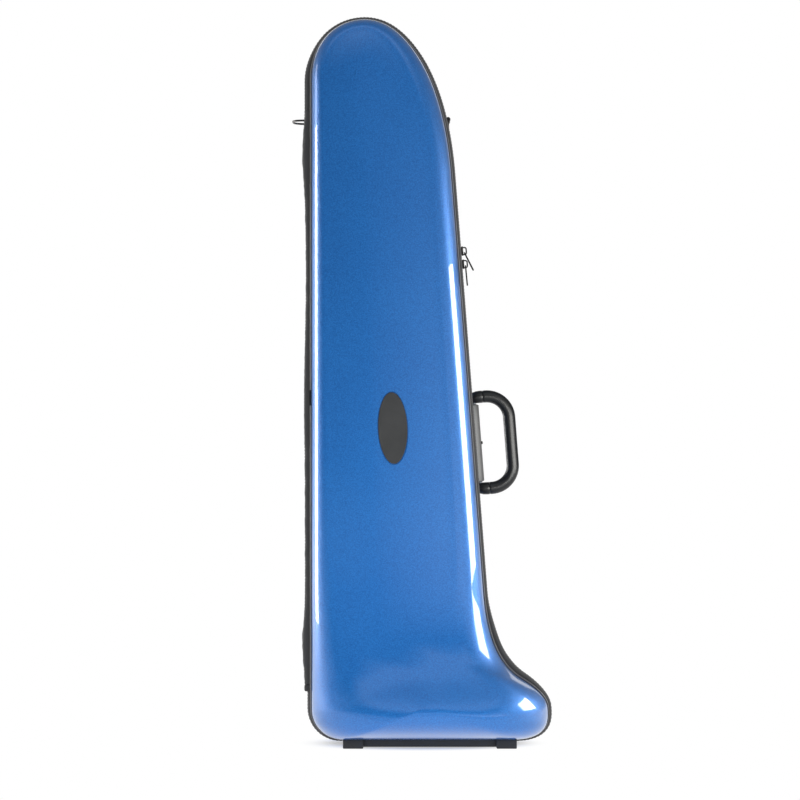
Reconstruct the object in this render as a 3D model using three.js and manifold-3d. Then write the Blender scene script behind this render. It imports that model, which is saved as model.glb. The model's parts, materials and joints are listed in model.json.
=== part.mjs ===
import * as THREE from 'three';
import Module from 'manifold-3d';
import { mergeVertices } from 'three/addons/utils/BufferGeometryUtils.js';

// A hard trombone case that stands on its bell end. Millimetres, Z up.
// X runs from the hinge side to the handle side, Y from the lid to the back shell.

// Rim outline, seen from the lid side: X from the hinge side, Z from the floor
const CROWN_X = 65.8;
const CROWN_Z = 896.6;
const HINGE_SIDE_TOP = CROWN_Z - 73.6;
const HINGE_TOP_PULL = 51.5;
const CROWN_PULL_HINGE_SIDE = 31;
const CROWN_PULL_ZIP_SIDE = 28;
const KNEE_X = 130.4;
const KNEE_Z = CROWN_Z - 42.8;
const KNEE_LEAN = THREE.MathUtils.degToRad(34.3);
const KNEE_PULL_UP = 29;
const KNEE_PULL_DOWN = 34;
const FLANK_TOP_Z = CROWN_Z - 190.6;
const FLANK_TOP_PULL = 72;
const FLANK_LOW_X = 212.6;
const FLANK_LOW_Z = 189.3;
const FLANK_LOW_PULL = 70;
const FLANK_LEAN = THREE.MathUtils.degToRad(4.4);
const SHOULDER_X = 261.2;
const SHOULDER_Z = 80.8;
const SHOULDER_LEAN = THREE.MathUtils.degToRad(59);
const SHOULDER_PULL_UP = 26.4;
const SHOULDER_PULL_DOWN = 10.4;
const TOE_X = 292.2;
const TOE_Z = 45;
const TOE_PULL_UP = 16;
const TOE_PULL_DOWN = 8;
const BOTTOM_Z = 9;
const BOTTOM_ZIP_SIDE_X = 252;
const BOTTOM_ZIP_SIDE_PULL = 46;
const CORNER_RADIUS = 36;
const CORNER_PULL = 20;

// Depth of one shell, from the seam between the shells
const RIM_DEPTH = 16;
const BODY_DEPTH = 62;
const BELL_DEPTH = 124;
const BELL_Z = 46;
const BELL_FLARE_REACH = 48;
const SHELL_WALL = 3.5;
const RIDGE_LOW_Z = 66;
const RIDGE_HIGH_Z = CROWN_Z - 64.6;
const RIDGE_SHARE = 0.42;
const RIDGE_SHARE_AT_BELL = 0.52;
const EDGE_SHARE = 0.25;
const EDGE_SHARE_AT_BELL = 0.85;

// Seam trim, measured outward from the rim outline and in depth from the seam
const FIT = 0.3;
const PROFILE_INNER = 4.6;
const PROFILE_THICK = 3.7;
const PIPING_RADIUS = 1.2;
const TAPE_REACH = 5.2;
const TAPE_EDGE_REACH = 3.2;
const TAPE_SHOULDER_DEPTH = 9;
const TAPE_TOP_DEPTH = 4.5;
const TAPE_LIP_REACH = 4.2;
const COIL_REACH = 5.7;
const COIL_HEIGHT = 2.1;
const COIL_HALF_WIDTH = 1.45;
const SEAM_GAP = 0.15;
const ZIP_TOP_Z = HINGE_SIDE_TOP - 36;
const ZIP_LOW_Z = 65;

// Textile spine along the hinge side
const SPINE_REACH = 8.6;
const SPINE_EDGE_REACH = 3.2;
const SPINE_BULGE = 3.7;
const SPINE_HOLLOW = 1.6;
const HEM_LENGTH = 9;
const HEM_REACH = 9.3;

// Foam linings and what they hold
const FOAM_FACE_DEPTH = 1.2;
const FOAM_RIM_INSET = 5.2;
const SLIDE_POCKET_X = 38;
const SLIDE_POCKET_WIDTH = 40;
const SLIDE_POCKET_DEPTH = 47;
const SLIDE_POCKET_LOW_Z = 62;
const SLIDE_POCKET_LENGTH = CROWN_Z - 108.6;
const BELL_AXIS_X = 162;
const BELL_RIM_RADIUS = 108;
const BELL_RIM_Z = 46;
const BELL_LENGTH = 540;
const BELL_TAIL_RADIUS = 13;
const TUBING_POCKET_X = 116;
const TUBING_POCKET_WIDTH = 104;
const TUBING_POCKET_DEPTH = 20;
const TUBING_POCKET_LOW_Z = 335;
const TUBING_POCKET_LENGTH = 275;
const ACCESSORY_POCKET_X = 101;
const ACCESSORY_POCKET_WIDTH = 70;
const ACCESSORY_POCKET_DEPTH = 44;
const ACCESSORY_POCKET_LOW_Z = CROWN_Z - 251.6;
const ACCESSORY_POCKET_LENGTH = 145;
const MOUTHPIECE_POCKET_X = 92;
const MOUTHPIECE_POCKET_WIDTH = 32;
const MOUTHPIECE_POCKET_DEPTH = 28;
const MOUTHPIECE_POCKET_LOW_Z = 205;
const MOUTHPIECE_POCKET_LENGTH = 92;
const STRAP_WIDTH = 25;
const STRAP_THICK = 1.2;
const STRAP_LANDING = 11;
const SLIDE_STRAP_Z = 250;
const BELL_STRAP_Z = 317;
const BELL_STRAP_LENGTH = 64;

// Oval badge plate in the lid's face, left bare
const BADGE_X = 100.7;
const BADGE_Z = 392.7;
const BADGE_WIDTH = 35.5;
const BADGE_HEIGHT = 87;
const BADGE_TILT = THREE.MathUtils.degToRad(2.3);
const BADGE_THICK = 1.4;
const BADGE_SINK = 1.2;

// Foot rails under both shells
const FOOT_LENGTH = 25;
const FOOT_HINGE_SIDE_X = 52;
const FOOT_ZIP_SIDE_X = 240;
const FOOT_NEAR_DEPTH = 21;
const FOOT_FAR_DEPTH = 49;
const FOOT_RAISE = 24;
const WEB_CLEARANCE = 1.2;
const WEB_THICK = 12;

// Screws, bolts and rivets
const SCREW_RADIUS = 2;
const SCREW_HEAD_RADIUS = 4;
const SCREW_HEAD_THICK = 2.4;
const RIVET_HEAD_RADIUS = 4;
const RIVET_HEAD_THICK = 1.6;

// Carrying handle, set on the back shell
const HANDLE_Z = 372;
const HANDLE_DEPTH = 32;
const HANDLE_LEG_HALF_SPAN = 57.7;
const HANDLE_REACH = 50.7;
const HANDLE_BEND_RADIUS = 28;
const GRIP_RADIUS = 7.8;
const CORE_RADIUS = 4;
const HANDLE_END_REACH = 19.2;
const HANDLE_AXIS_REACH = 8.4;
const BAR_REACH = 13.5;
const BAR_HALF_WIDTH = 7;
const BAR_STUD_RADIUS = 2;
const BAR_STUD_RISE = 1.8;
const PIN_RADIUS = 2.4;
const PIN_DEPTH = 8;
const CORE_SOCKET_DEPTH = 6;
const BAR_BOLT_OFFSET = 30;
const BAR_BOLT_BITE = 7;
const PLATE_THICK = 2;
const PLATE_LENGTH = 82;
const PLATE_WIDTH = 13;
const RELIEF_DEPTH = 13;

// Zip sliders and their pull tabs, on the straight flank
const SLIDER_UPPER_Z = FLANK_TOP_Z - 94.5;
const SLIDER_LOWER_Z = SLIDER_UPPER_Z - 16.3;
const SLIDER_LENGTH = 11.5;
const SLIDER_WIDTH = 9.5;
const SLIDER_PLATE_THICK = 2;
const BRIDGE_REACH = 4.7;
const BRIDGE_WIRE = 1.8;
const BRIDGE_WIDTH = 3;
const BRIDGE_LENGTH = 10.6;
const BRIDGE_ROUND_SHARE = 0.7;
const SLIDER_WAIST_SHARE = 0.72;
const TAB_LENGTH = 26;
const TAB_THICK = 1.6;
const TAB_TOP_WIDTH = 7.4;
const TAB_END_WIDTH = 8.6;
const TAB_SIDE_BAR = 1.8;
const TAB_EYE_LENGTH = 3.3;
const TAB_UPPER_LEAN = THREE.MathUtils.degToRad(22.5);
const TAB_LOWER_LEAN = THREE.MathUtils.degToRad(1);

// D-rings for a shoulder strap, in webbing tabs on the back shell
const RING_Z = ZIP_TOP_Z - 10;
const RING_MID_DEPTH = 36.5;
const RING_BAR_HALF = 18;
const RING_WIRE_RADIUS = 1.25;
const RING_REACH = 17;
const RING_CORNER = 13;
const RING_AXIS_REACH = 8;
const RING_TAB_WIDTH = 31;
const RING_TAB_LENGTH = 34;
const RING_TAB_THICK = 2;
const RING_SLEEVE_WALL = 1.6;
const RING_RIVET_OFFSET = 11;
const RING_HANG = THREE.MathUtils.degToRad(103);

// Clip over the joint of the lid's piping
const CLIP_Z = 429.5;
const CLIP_LENGTH = 19;
const CLIP_THICK = 0.8;

const OVERRUN = 30;
const SHORT_OVERRUN = 10;
const ROUND_SIDES = 12;
const ROD_SIDES = 8;
const THIN_SIDES = 6;

const wasm = await Module();
wasm.setup();

// Finishes

function finish(color, roughness, metalness) {
  return new THREE.MeshStandardMaterial({ color, roughness, metalness });
}

const bluePaint = finish(0x2a6bb5, 0.18, 0.35);
const blackRubber = finish(0x17181a, 0.7, 0);
const greyPiping = finish(0x6c6d72, 0.55, 0);
const darkTextile = finish(0x3a3a3e, 0.9, 0);
const zipNylon = finish(0x1e1e20, 0.6, 0);
const darkMetal = finish(0x2b2724, 0.4, 0.8);
const greyBar = finish(0x85858a, 0.45, 0.4);
const steel = finish(0xa8abb0, 0.35, 0.9);
const gripRubber = finish(0x1b1c1e, 0.45, 0);
const footPlastic = finish(0x26282b, 0.6, 0);
const foamPlush = finish(0x2c2e33, 0.95, 0);
const badgeGrey = finish(0x3d3e42, 0.55, 0.1);

const group = new THREE.Group();

function addPiece(name, geometry, material, parent = group) {
  const mesh = new THREE.Mesh(geometry, material);
  mesh.name = name;
  parent.add(mesh);
  return mesh;
}

// Closed bodies from loops of points

function signedVolume(positions, index) {
  const a = new THREE.Vector3();
  const b = new THREE.Vector3();
  const c = new THREE.Vector3();
  let total = 0;
  for (let i = 0; i < index.length; i += 3) {
    a.fromArray(positions, 3 * index[i]);
    b.fromArray(positions, 3 * index[i + 1]);
    c.fromArray(positions, 3 * index[i + 2]);
    total += a.dot(b.cross(c));
  }
  return total;
}

// Merges shared points, drops collapsed faces and turns the faces outward
function welded(geometry) {
  const bare = geometry.clone();
  bare.deleteAttribute('normal');
  bare.deleteAttribute('uv');
  const merged = mergeVertices(bare);
  const index = merged.index.array;
  const kept = [];
  for (let i = 0; i < index.length; i += 3) {
    const [a, b, c] = [index[i], index[i + 1], index[i + 2]];
    if (a !== b && b !== c && c !== a) kept.push(a, b, c);
  }
  if (signedVolume(merged.attributes.position.array, kept) < 0) kept.reverse();
  merged.setIndex(kept);
  merged.computeVertexNormals();
  return merged;
}

function closedGeometry(points, faces) {
  const raw = new THREE.BufferGeometry();
  const numbers = points.flatMap((p) => [p.x, p.y, p.z]);
  raw.setAttribute('position', new THREE.Float32BufferAttribute(numbers, 3));
  raw.setIndex(faces);
  return welded(raw);
}

// Joins each loop to the next with a strip of faces
function bridgeLoops(loops, wrapAround) {
  const count = loops[0].length;
  const faces = [];
  const strips = wrapAround ? loops.length : loops.length - 1;
  for (let j = 0; j < strips; j += 1) {
    const here = j * count;
    const next = ((j + 1) % loops.length) * count;
    for (let i = 0; i < count; i += 1) {
      const k = (i + 1) % count;
      faces.push(here + i, here + k, next + i);
      faces.push(here + k, next + k, next + i);
    }
  }
  return faces;
}

function capFan(first, count, reverse) {
  const faces = [];
  for (let i = 1; i < count - 1; i += 1) {
    if (reverse) faces.push(first, first + i + 1, first + i);
    else faces.push(first, first + i, first + i + 1);
  }
  return faces;
}

// Runs a section of [outward, depth] points along stations, closed on itself or capped
function sweep(stations, section, closed, reachAt = (station, outward) => outward) {
  const loops = stations.map((s) => section.map(([outward, depth]) => {
    const reach = reachAt(s, outward);
    return new THREE.Vector3(s.x + s.nx * reach, depth, s.z + s.nz * reach);
  }));
  const faces = bridgeLoops(loops, closed);
  if (!closed) {
    faces.push(...capFan(0, section.length, true));
    faces.push(...capFan((loops.length - 1) * section.length, section.length, false));
  }
  return closedGeometry(loops.flat(), faces);
}

// Booleans

function toManifold(geometry) {
  const merged = welded(geometry);
  return new wasm.Manifold(new wasm.Mesh({
    numProp: 3,
    vertProperties: new Float32Array(merged.attributes.position.array),
    triVerts: new Uint32Array(merged.index.array),
  }));
}

function fromManifold(solid) {
  const mesh = solid.getMesh();
  const geometry = new THREE.BufferGeometry();
  geometry.setAttribute('position', new THREE.BufferAttribute(new Float32Array(mesh.vertProperties), 3));
  geometry.setIndex(new THREE.BufferAttribute(new Uint32Array(mesh.triVerts), 1));
  geometry.computeVertexNormals();
  return geometry;
}

function cut(body, ...tools) {
  return fromManifold(tools.reduce((left, tool) => left.subtract(toManifold(tool)), toManifold(body)));
}

function join(body, ...more) {
  return fromManifold(more.reduce((left, extra) => left.add(toManifold(extra)), toManifold(body)));
}

function common(body, other) {
  return fromManifold(toManifold(body).intersect(toManifold(other)));
}

function boxBetween(lowX, highX, lowY, highY, lowZ, highZ) {
  const box = new THREE.BoxGeometry(highX - lowX, highY - lowY, highZ - lowZ);
  return box.translate((lowX + highX) / 2, (lowY + highY) / 2, (lowZ + highZ) / 2);
}

// A cylinder along one axis, from one end to the other
function rodBetween(axis, radius, from, to, sides = ROUND_SIDES) {
  const rod = new THREE.CylinderGeometry(radius, radius, to - from, sides);
  rod.translate(0, (from + to) / 2, 0);
  if (axis === 'x') rod.rotateZ(-Math.PI / 2);
  if (axis === 'z') rod.rotateX(Math.PI / 2);
  return rod;
}

function moved(geometry, x, y, z) {
  return geometry.clone().translate(x, y, z);
}

function turned(geometry, matrix) {
  return geometry.clone().applyMatrix4(matrix);
}

// Rim outline

const flankX = (z) => FLANK_LOW_X + (FLANK_LOW_Z - z) * Math.tan(FLANK_LEAN);

function point(x, z) {
  return new THREE.Vector2(x, z);
}

function downhill(x, z, lean, distance) {
  return point(x + Math.sin(lean) * distance, z - Math.cos(lean) * distance);
}

const flankTop = point(flankX(FLANK_TOP_Z), FLANK_TOP_Z);
const flankLow = point(FLANK_LOW_X, FLANK_LOW_Z);
const crown = point(CROWN_X, CROWN_Z);
const knee = point(KNEE_X, KNEE_Z);
const shoulder = point(SHOULDER_X, SHOULDER_Z);
const toe = point(TOE_X, TOE_Z);
const bottomZipSide = point(BOTTOM_ZIP_SIDE_X, BOTTOM_Z);
const bottomHingeSide = point(CORNER_RADIUS, BOTTOM_Z);
const cornerTop = point(0, BOTTOM_Z + CORNER_RADIUS);
const hingeTop = point(0, HINGE_SIDE_TOP);

const crownHingeSide = new THREE.CubicBezierCurve(
  hingeTop, point(0, HINGE_SIDE_TOP + HINGE_TOP_PULL),
  point(CROWN_X - CROWN_PULL_HINGE_SIDE, CROWN_Z), crown);
const crownZipSide = new THREE.CubicBezierCurve(
  crown, point(CROWN_X + CROWN_PULL_ZIP_SIDE, CROWN_Z),
  downhill(KNEE_X, KNEE_Z, KNEE_LEAN, -KNEE_PULL_UP), knee);
const kneeToFlank = new THREE.CubicBezierCurve(
  knee, downhill(KNEE_X, KNEE_Z, KNEE_LEAN, KNEE_PULL_DOWN),
  point(flankX(FLANK_TOP_Z + FLANK_TOP_PULL), FLANK_TOP_Z + FLANK_TOP_PULL), flankTop);
const flank = new THREE.LineCurve(flankTop, flankLow);
const flankToShoulder = new THREE.CubicBezierCurve(
  flankLow, point(flankX(FLANK_LOW_Z - FLANK_LOW_PULL), FLANK_LOW_Z - FLANK_LOW_PULL),
  downhill(SHOULDER_X, SHOULDER_Z, SHOULDER_LEAN, -SHOULDER_PULL_UP), shoulder);
const shoulderToToe = new THREE.CubicBezierCurve(
  shoulder, downhill(SHOULDER_X, SHOULDER_Z, SHOULDER_LEAN, SHOULDER_PULL_DOWN),
  point(TOE_X, TOE_Z + TOE_PULL_UP), toe);
const toeToBottom = new THREE.CubicBezierCurve(
  toe, point(TOE_X, TOE_Z - TOE_PULL_DOWN),
  point(BOTTOM_ZIP_SIDE_X + BOTTOM_ZIP_SIDE_PULL, BOTTOM_Z), bottomZipSide);
const bottom = new THREE.LineCurve(bottomZipSide, bottomHingeSide);
const corner = new THREE.CubicBezierCurve(
  bottomHingeSide, point(CORNER_RADIUS - CORNER_PULL, BOTTOM_Z),
  point(0, BOTTOM_Z + CORNER_RADIUS - CORNER_PULL), cornerTop);

// A station is a point of the outline with its outward direction
function stationOn(curve, t) {
  const p = curve.getPoint(t);
  const tangent = curve.getTangent(t);
  return { x: p.x, z: p.y, nx: -tangent.y, nz: tangent.x };
}

function stationsAlong(stretches, withEnd) {
  const stations = [];
  for (const [curve, steps] of stretches) {
    for (let i = 0; i < steps; i += 1) stations.push(stationOn(curve, i / steps));
  }
  if (withEnd) stations.push(stationOn(stretches[stretches.length - 1][0], 1));
  return stations;
}

const curvedStretches = [
  [crownHingeSide, 7], [crownZipSide, 5], [kneeToFlank, 4], [flank, 1], [flankToShoulder, 7],
  [shoulderToToe, 3], [toeToBottom, 5], [bottom, 1], [corner, 5],
];

const wholeRim = stationsAlong([...curvedStretches, [new THREE.LineCurve(cornerTop, hingeTop), 1]], false);
const zipPath = stationsAlong([
  [new THREE.LineCurve(point(0, ZIP_TOP_Z), hingeTop), 1], ...curvedStretches,
  [new THREE.LineCurve(cornerTop, point(0, ZIP_LOW_Z)), 1],
], true);

// Shell form: every point of the rim runs in to a ridge line while the wall rounds over

const HALVINGS = 40;

// Where a curve that only falls or only rises crosses a height
function crossing(curve, z) {
  const falling = curve.getPoint(0).y > curve.getPoint(1).y;
  let low = 0;
  let high = 1;
  for (let i = 0; i < HALVINGS; i += 1) {
    const middle = (low + high) / 2;
    if (curve.getPoint(middle).y > z === falling) low = middle;
    else high = middle;
  }
  return stationOn(curve, (low + high) / 2);
}

function hingeSideStation(z) {
  if (z > HINGE_SIDE_TOP) return crossing(crownHingeSide, z);
  if (z < cornerTop.y) return crossing(corner, z);
  return { x: 0, z, nx: -1, nz: 0 };
}

const flare = (z) => 1 / (1 + (Math.max(0, z - BELL_Z) / BELL_FLARE_REACH) ** 2);
const faceDepth = (z) => BODY_DEPTH + (BELL_DEPTH - BODY_DEPTH) * flare(z);

function shellStations() {
  const zipSide = stationsAlong([
    [crownZipSide, 6], [kneeToFlank, 5], [flank, 4],
    [flankToShoulder, 8], [shoulderToToe, 3], [toeToBottom, 5],
  ], true);
  const hingeSide = zipSide.slice(1).map((s) => ({ ...hingeSideStation(s.z), z: s.z }));
  const withRidge = (station, left, right) => {
    const rise = (station.z - BOTTOM_Z) / (CROWN_Z - BOTTOM_Z);
    const share = RIDGE_SHARE + (RIDGE_SHARE_AT_BELL - RIDGE_SHARE) * flare(station.z);
    return {
      ...station,
      ridgeX: left + share * (right - left),
      ridgeZ: RIDGE_LOW_Z + rise * (RIDGE_HIGH_Z - RIDGE_LOW_Z),
      edgeShare: EDGE_SHARE + (EDGE_SHARE_AT_BELL - EDGE_SHARE) * flare(station.z),
    };
  };
  const right = zipSide.map((s, i) => withRidge(s, i === 0 ? s.x : hingeSide[i - 1].x, s.x));
  const left = hingeSide.map((s, i) => withRidge(s, s.x, zipSide[i + 1].x));
  const under = stationsAlong([[bottom, 5]], false).slice(1)
    .map((s) => withRidge(s, hingeSide[hingeSide.length - 1].x, BOTTOM_ZIP_SIDE_X));
  return [...right, ...under, ...left.reverse()];
}

const shellRim = shellStations();
const EDGE_STEPS = 5;

function shellLoop(inset, rimDepth, edgeAngle, share) {
  return shellRim.map((s) => {
    const inward = share ?? s.edgeShare * (1 - Math.cos(edgeAngle));
    const x = THREE.MathUtils.lerp(s.x - s.nx * inset, s.ridgeX, inward);
    const z = THREE.MathUtils.lerp(s.z - s.nz * inset, s.ridgeZ, inward);
    const depth = rimDepth + (faceDepth(z) - inset - rimDepth) * Math.sin(edgeAngle);
    return new THREE.Vector3(x, depth, z);
  });
}

// From the ridge out to the rim, as loops
function shellSurface(inset) {
  const loops = [shellLoop(inset, RIM_DEPTH, Math.PI / 2, 1)];
  for (let i = EDGE_STEPS; i >= 0; i -= 1) {
    loops.push(shellLoop(inset, RIM_DEPTH, (i / EDGE_STEPS) * (Math.PI / 2), null));
  }
  return loops;
}

// Lays a flat end across a loop, in to the ridge line
function flatLoop(depth, share, inset) {
  return shellRim.map((s) => new THREE.Vector3(
    THREE.MathUtils.lerp(s.x - s.nx * inset, s.ridgeX, share), depth,
    THREE.MathUtils.lerp(s.z - s.nz * inset, s.ridgeZ, share)));
}

function shellWallBody() {
  const loops = [...shellSurface(0), ...shellSurface(SHELL_WALL).reverse()];
  return closedGeometry(loops.flat(), bridgeLoops(loops, false));
}

// The space that a shell of this inset would fill, down to its rim, split as the wall's faces are
function shellBlank(inset) {
  const loops = [...shellSurface(inset), flatLoop(RIM_DEPTH, 1, inset)];
  if (inset > 0) loops.reverse();
  return closedGeometry(loops.flat(), bridgeLoops(loops, false));
}

function mirrored(geometry) {
  return welded(geometry.clone().scale(1, -1, 1));
}

const wallBody = shellWallBody();
const keepOff = shellBlank(-FIT);

// A frame on the zip side: X outward, Z up along the rim
function rimFrame(x, z, outwardX, outwardZ) {
  const angle = -Math.atan2(outwardZ, outwardX);
  return new THREE.Matrix4().makeTranslation(x, 0, z).multiply(new THREE.Matrix4().makeRotationY(angle));
}

function flankFrame(z) {
  return rimFrame(flankX(z), z, Math.cos(FLANK_LEAN), Math.sin(FLANK_LEAN));
}

// Feet

const footXs = [FOOT_HINGE_SIDE_X, FOOT_ZIP_SIDE_X];
const footMidDepth = (FOOT_NEAR_DEPTH + FOOT_FAR_DEPTH) / 2;
const screwHole = (x) => moved(rodBetween('z', SCREW_RADIUS + FIT, 0, FOOT_RAISE), x, footMidDepth, 0);
const headHole = (x) => moved(
  rodBetween('z', SCREW_HEAD_RADIUS + FIT, -OVERRUN, SCREW_HEAD_THICK + FIT), x, footMidDepth, 0);

function footRail() {
  const half = FOOT_LENGTH / 2;
  const blocks = footXs.map((x) => boxBetween(
    x - half, x + half, FOOT_NEAR_DEPTH, FOOT_FAR_DEPTH, 0, FOOT_RAISE));
  const web = boxBetween(
    footXs[0], footXs[1], footMidDepth - WEB_THICK / 2, footMidDepth + WEB_THICK / 2,
    WEB_CLEARANCE, FOOT_RAISE);
  const rail = join(blocks[0], blocks[1], web);
  return cut(rail, keepOff, ...footXs.map(screwHole), ...footXs.map(headHole));
}

function footScrew() {
  const head = rodBetween('z', SCREW_HEAD_RADIUS, FIT, SCREW_HEAD_THICK);
  return join(head, rodBetween('z', SCREW_RADIUS, FIT, BOTTOM_Z + SHELL_WALL));
}

// Badge

function ovalPlate(width, height, nearDepth, farDepth) {
  const shape = new THREE.Shape();
  shape.absellipse(0, 0, width / 2, height / 2, 0, 2 * Math.PI, false, 0);
  const plate = new THREE.ExtrudeGeometry(shape, {
    depth: farDepth - nearDepth, bevelEnabled: false, curveSegments: 28,
  });
  plate.rotateX(Math.PI / 2);
  plate.translate(0, farDepth, 0);
  return plate.rotateY(-BADGE_TILT).translate(BADGE_X, 0, BADGE_Z);
}

const faceAtBadge = faceDepth(BADGE_Z);
const badgeSeat = faceAtBadge - BADGE_SINK;
const badgeRecess = ovalPlate(
  BADGE_WIDTH + 2 * FIT, BADGE_HEIGHT + 2 * FIT, badgeSeat, faceAtBadge + OVERRUN);
const badgePlate = ovalPlate(BADGE_WIDTH, BADGE_HEIGHT, badgeSeat + FIT, badgeSeat + FIT + BADGE_THICK);

// Seam trim

const profileTop = RIM_DEPTH - FIT;
const profileLow = profileTop - PROFILE_THICK;
const tapeTop = profileLow - FIT;
const coilTop = SEAM_GAP + COIL_HALF_WIDTH;
const tapeLow = coilTop + FIT;

const profileSection = [
  [-PROFILE_INNER, profileLow], [0, profileLow], [0, profileTop], [-PROFILE_INNER, profileTop],
];
const tapeSection = [
  [-PROFILE_INNER, tapeTop], [TAPE_EDGE_REACH, tapeTop], [TAPE_REACH, TAPE_SHOULDER_DEPTH],
  [TAPE_REACH, TAPE_TOP_DEPTH], [TAPE_LIP_REACH, tapeLow], [-PROFILE_INNER, tapeLow],
];
const coilSection = [
  [COIL_REACH - COIL_HEIGHT, SEAM_GAP], [COIL_REACH, SEAM_GAP],
  [COIL_REACH, coilTop], [COIL_REACH - COIL_HEIGHT, coilTop],
];
const spineSection = [
  [-PROFILE_INNER, tapeTop], [SPINE_EDGE_REACH, tapeTop], [SPINE_REACH - FIT, TAPE_SHOULDER_DEPTH],
  [SPINE_REACH, TAPE_TOP_DEPTH], [SPINE_REACH, SEAM_GAP], [-PROFILE_INNER, SEAM_GAP],
];

function roundSection(middle, depth, radius, sides) {
  const section = [];
  for (let i = 0; i < sides; i += 1) {
    const angle = (i / sides) * 2 * Math.PI;
    section.push([middle + radius * Math.cos(angle), depth + radius * Math.sin(angle)]);
  }
  return section;
}

const pipingSection = roundSection(
  FIT + PIPING_RADIUS, RIM_DEPTH - FIT - PIPING_RADIUS, PIPING_RADIUS, THIN_SIDES);

// The spine swells where it is stuffed and sinks between; heights as shares of its length
const spineLow = ZIP_LOW_Z + HEM_LENGTH + FIT;
const spineTop = ZIP_TOP_Z - FIT;
const SPINE_STATIONS = 14;
const swellShares = [[0.07, 0.05, 1], [0.49, 0.09, 0.4], [0.92, 0.06, 1]];
const hollowShare = 0.72;
const hollowWidthShare = 0.1;

function spineSwell(z) {
  const share = (z - spineLow) / (spineTop - spineLow);
  let swell = 0;
  for (const [placeShare, widthShare, strengthShare] of swellShares) {
    swell += SPINE_BULGE * strengthShare * Math.exp(-(((share - placeShare) / widthShare) ** 2));
  }
  return swell - SPINE_HOLLOW * Math.exp(-(((share - hollowShare) / hollowWidthShare) ** 2));
}

const spinePath = stationsAlong([
  [new THREE.LineCurve(point(0, spineLow), point(0, spineTop)), SPINE_STATIONS],
], true);

function spineLeaf(swells) {
  return sweep(spinePath, spineSection, false, (station, outward) => {
    if (outward <= SPINE_EDGE_REACH) return outward;
    const swell = spineSwell(station.z);
    return outward + (swells ? swell : Math.min(0, swell));
  });
}

// The turned hem that ends the spine, over the start of the zip
const hemSection = [
  [FIT, tapeTop], [HEM_REACH - FIT, tapeTop - FIT], [HEM_REACH, TAPE_SHOULDER_DEPTH],
  [HEM_REACH, SEAM_GAP], [FIT, SEAM_GAP],
];

function spineHem() {
  const path = new THREE.LineCurve(point(0, ZIP_LOW_Z + FIT), point(0, spineLow - FIT));
  return sweep(stationsAlong([[path, 1]], true), hemSection, false);
}

// Foam linings

function foamBlank() {
  const loops = [
    flatLoop(FOAM_FACE_DEPTH, 1, FOAM_RIM_INSET),
    flatLoop(FOAM_FACE_DEPTH, 0, FOAM_RIM_INSET),
    flatLoop(RIM_DEPTH, 0, FOAM_RIM_INSET),
    ...shellSurface(SHELL_WALL + FIT).reverse(),
  ];
  return closedGeometry(loops.flat(), bridgeLoops(loops, false));
}

function pocket(midX, width, depth, lowZ, length) {
  return boxBetween(midX - width / 2, midX + width / 2, -OVERRUN, depth, lowZ, lowZ + length);
}

// Bell of a tenor trombone: radii and heights as shares of rim radius and length
const bellShares = [
  [0, 1], [0.02, 0.97], [0.06, 0.74], [0.12, 0.5], [0.2, 0.35], [0.32, 0.24], [0.5, 0.17],
  [0.75, 0.13],
];

function bellForm() {
  const profile = bellShares.map(([along, radius]) => new THREE.Vector2(
    BELL_RIM_RADIUS * radius, BELL_RIM_Z + BELL_LENGTH * along));
  profile.push(new THREE.Vector2(BELL_TAIL_RADIUS, BELL_RIM_Z + BELL_LENGTH));
  profile.push(new THREE.Vector2(0, BELL_RIM_Z + BELL_LENGTH));
  const body = new THREE.LatheGeometry([new THREE.Vector2(0, BELL_RIM_Z), ...profile], 28);
  return body.rotateX(Math.PI / 2).translate(BELL_AXIS_X, 0, 0);
}

const bellPocket = bellForm();
const slidePocket = pocket(
  SLIDE_POCKET_X, SLIDE_POCKET_WIDTH, SLIDE_POCKET_DEPTH,
  SLIDE_POCKET_LOW_Z, SLIDE_POCKET_LENGTH);
const tubingPocket = pocket(
  TUBING_POCKET_X, TUBING_POCKET_WIDTH, TUBING_POCKET_DEPTH,
  TUBING_POCKET_LOW_Z, TUBING_POCKET_LENGTH);
const accessoryPocket = pocket(
  ACCESSORY_POCKET_X, ACCESSORY_POCKET_WIDTH, ACCESSORY_POCKET_DEPTH,
  ACCESSORY_POCKET_LOW_Z, ACCESSORY_POCKET_LENGTH);
const mouthpiecePocket = pocket(
  MOUTHPIECE_POCKET_X, MOUTHPIECE_POCKET_WIDTH, MOUTHPIECE_POCKET_DEPTH,
  MOUTHPIECE_POCKET_LOW_Z, MOUTHPIECE_POCKET_LENGTH);

// Handle, built on the flank's frame

const handleFrame = flankFrame(HANDLE_Z);
const barHalfLength = HANDLE_LEG_HALF_SPAN - GRIP_RADIUS - FIT;
const boltHeights = [-BAR_BOLT_OFFSET, BAR_BOLT_OFFSET];

function onHandle(geometry) {
  return turned(geometry.translate(0, HANDLE_DEPTH, 0), handleFrame);
}

const boltHoles = boltHeights.map((z) => onHandle(
  moved(rodBetween('x', SCREW_RADIUS + FIT, -OVERRUN, BAR_BOLT_BITE + FIT), 0, 0, z)));
const pinHoles = [-1, 1].map((side) => onHandle(moved(
  rodBetween('z', PIN_RADIUS + FIT, -PIN_DEPTH - FIT, PIN_DEPTH + FIT),
  HANDLE_AXIS_REACH, 0, side * (barHalfLength + FIT / 2))));

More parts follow.
